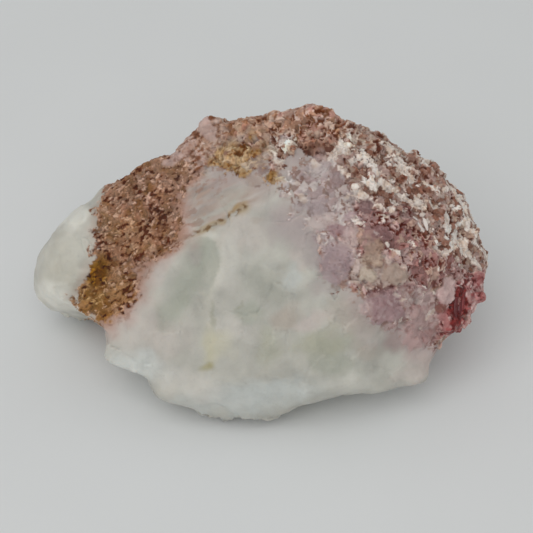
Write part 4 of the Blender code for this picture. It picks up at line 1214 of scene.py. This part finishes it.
# flecks of the sandy band; sizes are in mm, and a step below 0 sinks them into the skin
bandFlecks = {
    "spacing": 1.0, "share": 0.5, "broad": (0.14, 0.34), "deep": (0.12, 0.22), "step": (-0.12, -0.02),
    "tip": 0.5, "shade": 0.1, "roughness": 0.7, "specular": 0.3, "glow": 0.3, "glowDepth": 0.5, "grit": 0.2,
}
lying = scatter(bandFlecks["spacing"], 61, lambda spots: bandFlecks["share"] * inZone("band", spots))
finishPiece("bandFlecks", layGrains(lying, bandFlecks, blocks), bandFlecks)

# grains and crumbs of the coarse crust
crustGrains = {
    "spacing": 1.5, "share": 0.4, "broad": (0.35, 0.8), "deep": (0.25, 0.5), "step": (-0.5, -0.28),
    "tip": 0.3, "shade": 0.03, "mostWhite": 0.3,  # none lie in the white strings
    "roughness": 0.6, "specular": 0.3, "glow": 0.35, "glowDepth": 0.7, "grit": 0.14,
}
crustCrumbs = {"spacing": 1.1, "share": 0.3, "size": (0.1, 0.2), "step": (-0.12, 0.0), "shade": 0.1}


def crustAt(spots):
    away = [inZone(name, spots) for name in ("pinkLow", "beige", "fringe", "red", "redPink")]
    return inZone("crust", spots) * (1 - np.max(away, axis=0))


def grainsAt(spots):
    share = crustGrains["share"] * crustAt(spots)
    return share * (1 - inZone("lilac", spots)) * (1 - 0.7 * inZone("ridge", spots))


lying = scatter(crustGrains["spacing"], 71, grainsAt)
parts = layGrains(keepSome(lying, lying["white"] < crustGrains["mostWhite"]), crustGrains, blocks)
lying = scatter(crustCrumbs["spacing"], 72, lambda spots: crustCrumbs["share"] * crustAt(spots))
parts += layCrumbs(lying, crustCrumbs)
finishPiece("crustGrains", parts, crustGrains)

# white plates lie flat in the pale strings
whitePlates = {
    "spacing": 0.95, "share": 0.24, "broad": (0.2, 0.5), "deep": (0.1, 0.18), "step": (-0.15, -0.05),
    "tip": 0.3, "shade": 0.05, "roughness": 0.6, "specular": 0.3, "glow": 0.5, "glowDepth": 0.6, "grit": 0.08,
    "leastWhite": 0.6,
}
lying = scatter(whitePlates["spacing"], 81, lambda spots: whitePlates["share"] * crustAt(spots))
parts = layGrains(keepSome(lying, lying["white"] > whitePlates["leastWhite"]), whitePlates, flakes)

skinTree = BVHTree.FromPolygons(points.tolist(), faces.tolist())


def onSkin(across, up):
    towards = np.array((across, up, 0)) - eye
    spot, outward, index, distance = skinTree.ray_cast(Vector(eye), Vector(towards).normalized())
    if spot is None:  # just past the outline: the closest place that still faces the drawing
        gap = ((onDrawing(points) - (across, up)) ** 2).sum(axis=1) + 1e6 * (skin["outward"][:, 2] < 0.1)
        return points[gap.argmin()], skin["outward"][gap.argmin()]
    return np.array(spot), skin["outward"][faces[index]].mean(axis=0)


# a V of two white blades stands out below the middle of the crust
blades = {
    "places": ((24.5, 7.1, 26.5, 4.2), (26.2, 7.0, 26.8, 4.8)),  # from across, up, to across, up
    "halfWidth": 0.32, "thick": 0.14, "rise": 0.12, "tone": (198, 187, 181),
}
for x0, y0, x1, y1 in blades["places"]:
    head, outward = onSkin(x0, y0)
    foot = onSkin(x1, y1)[0]
    run = foot - head
    across = np.cross(outward, run)
    across *= blades["halfWidth"] / np.linalg.norm(across)
    deep = outward * blades["thick"] / np.linalg.norm(outward)
    lifted = head + outward * blades["rise"]
    ring = [lifted - 0.7 * across, lifted + 0.5 * across + 0.15 * run, lifted + 0.55 * run + across,
            foot + 0.25 * across, foot - 0.2 * across, lifted + 0.5 * run - across]
    coords, triangles = hullOf([spot + side * deep for spot in ring for side in (-1, 1)])
    parts.append((coords, triangles, np.tile(paint(*blades["tone"]), (len(coords), 1))))
finishPiece("whitePlates", parts, whitePlates)

# dark red columns, ribbed along their length, at the right end
redColumns = {
    "places": ((32.4, -4.2, 32.2, -8.6, 0.62), (32.9, -5.2, 32.6, -8.2, 0.38),
               (32.3, -7.6, 31.9, -12.2, 0.62), (31.7, -6.0, 31.5, -9.4, 0.36),
               (32.5, -8.6, 32.1, -11.6, 0.38)),  # from across, up, to across, up, radius
    "ribs": 7, "ribDepth": 0.05, "sink": 0.66, "streaks": 0.25,
    "rings": ((0.0, 0.86), (0.07, 1.0), (0.5, 1.04), (0.93, 1.0), (1.0, 0.8)),  # share of the length, width
    "tones": ((84, 26, 28), (102, 38, 38), (78, 22, 26), (120, 58, 56)),
    "roughness": 0.34, "specular": 0.5, "glow": 0.15, "glowDepth": 0.6, "grit": 0.25,
}


def columnShape(head, foot, outward, radius, chance):
    run = foot - head
    axis = run / np.linalg.norm(run)
    side = np.cross(axis, outward)
    side /= np.linalg.norm(side)
    deep = np.cross(side, axis)
    many = redColumns["ribs"] * 2
    angle = np.arange(many) * 2 * math.pi / many + chance.uniform(0, 1)
    radii = radius * (1 - redColumns["ribDepth"] * (np.arange(many) % 2)) * chance.uniform(0.9, 1.08, many)
    ring = np.cos(angle)[:, None] * radii[:, None] * side + np.sin(angle)[:, None] * radii[:, None] * deep
    slope = chance.uniform(-0.5, 0.5, (2, 2))
    rows = []
    for step, (share, width) in enumerate(redColumns["rings"]):
        tilt = slope[step // 3] if step in (0, 4) else (0, 0)  # the ends are cut at a slant
        along = ring @ side * tilt[0] + ring @ deep * tilt[1]
        rows.append(head + share * run + ring * width + axis * along[:, None])
    coords = np.concatenate([np.concatenate(rows), [rows[0].mean(axis=0)], [rows[-1].mean(axis=0)]])
    triangles = []
    for row in range(4):
        for k in range(many):
            a, b = row * many + k, row * many + (k + 1) % many
            triangles += [(a, b, b + many), (a, b + many, a + many)]
    last = 4 * many
    triangles += [(5 * many, (k + 1) % many, k) for k in range(many)]
    triangles += [(5 * many + 1, last + k, last + (k + 1) % many) for k in range(many)]
    return coords, np.array(triangles)


chance = np.random.default_rng(91)
parts = []
for x0, y0, x1, y1, radius in redColumns["places"]:
    (head, outward), (foot, away) = onSkin(x0, y0), onSkin(x1, y1)
    outward = (outward + away) / np.linalg.norm(outward + away)
    sunk = outward * radius * redColumns["sink"]
    coords, triangles = columnShape(head - sunk, foot - sunk, outward, radius, chance)
    tone = paint(*redColumns["tones"][chance.integers(4)])
    shade = 1 + redColumns["streaks"] * noiseAt(coords, 0.6, 92)[:, None]
    parts.append((coords, triangles, tone * shade))
finishPiece("redColumns", parts, redColumns)

# floor, lamps and camera
room = {
    "sky": (0.985, 1.0, 0.995), "skyStrength": 0.475,
    "keyPlace": (-0.32, -0.8, 1.1), "keySize": 1.5, "keyPower": 10.1,  # m, m, W
    "pixelsPerMm": 6.093, "frameWidth": 533, "sensor": 36,  # at the middle of the face, pixels, mm
}
paper = {
    "size": 4, "roughness": 0.9, "specular": 0.2, "glow": 0.0, "glowDepth": 1.0,
    "patches": (60, 2, ((0.2, (0.719, 0.729, 0.729)), (0.8, (0.755, 0.765, 0.765)))),
}


def layFloor():
    bpy.ops.mesh.primitive_grid_add(x_subdivisions=2, y_subdivisions=2, size=paper["size"])
    floor = bpy.context.object
    floor.name = "paleFloor"
    finish, tree, shader, place = newFinish("paleFloorPaper", paper)
    tree.links.new(mottleNode(tree, place, *paper["patches"]), shader.inputs["Base Color"])
    floor.data.materials.append(finish)


def hangLamps():
    world = bpy.data.worlds.new("roomLight")
    scene.world = world
    world.use_nodes = True
    sky = world.node_tree.nodes["Background"]
    sky.inputs["Color"].default_value = (*room["sky"], 1)
    sky.inputs["Strength"].default_value = room["skyStrength"]
    lamp = bpy.data.objects.new("keyLamp", bpy.data.lights.new("keyLamp", "AREA"))
    lamp.data.size = room["keySize"]
    lamp.data.energy = room["keyPower"]
    lamp.location = room["keyPlace"]
    lamp.rotation_mode = "QUATERNION"
    lamp.rotation_quaternion = (-Vector(room["keyPlace"])).to_track_quat("-Z", "Y")
    scene.collection.objects.link(lamp)


def setCamera():
    camera = bpy.data.objects.new("viewCamera", bpy.data.cameras.new("viewCamera"))
    scene.collection.objects.link(camera)
    camera.data.sensor_width = room["sensor"]
    camera.data.lens = room["pixelsPerMm"] * room["sensor"] * eye[2] / room["frameWidth"]
    camera.data.clip_start = 0.01
    camera.location = Vector(toStone(eye)) * 0.001
    camera.rotation_mode = "QUATERNION"
    camera.rotation_quaternion = Vector(-faceAxes[2]).to_track_quat("-Z", "Y")
    scene.camera = camera


layFloor()
hangLamps()
setCamera()
scene.view_settings.view_transform = "Standard"
print("floor, lamps and camera set")
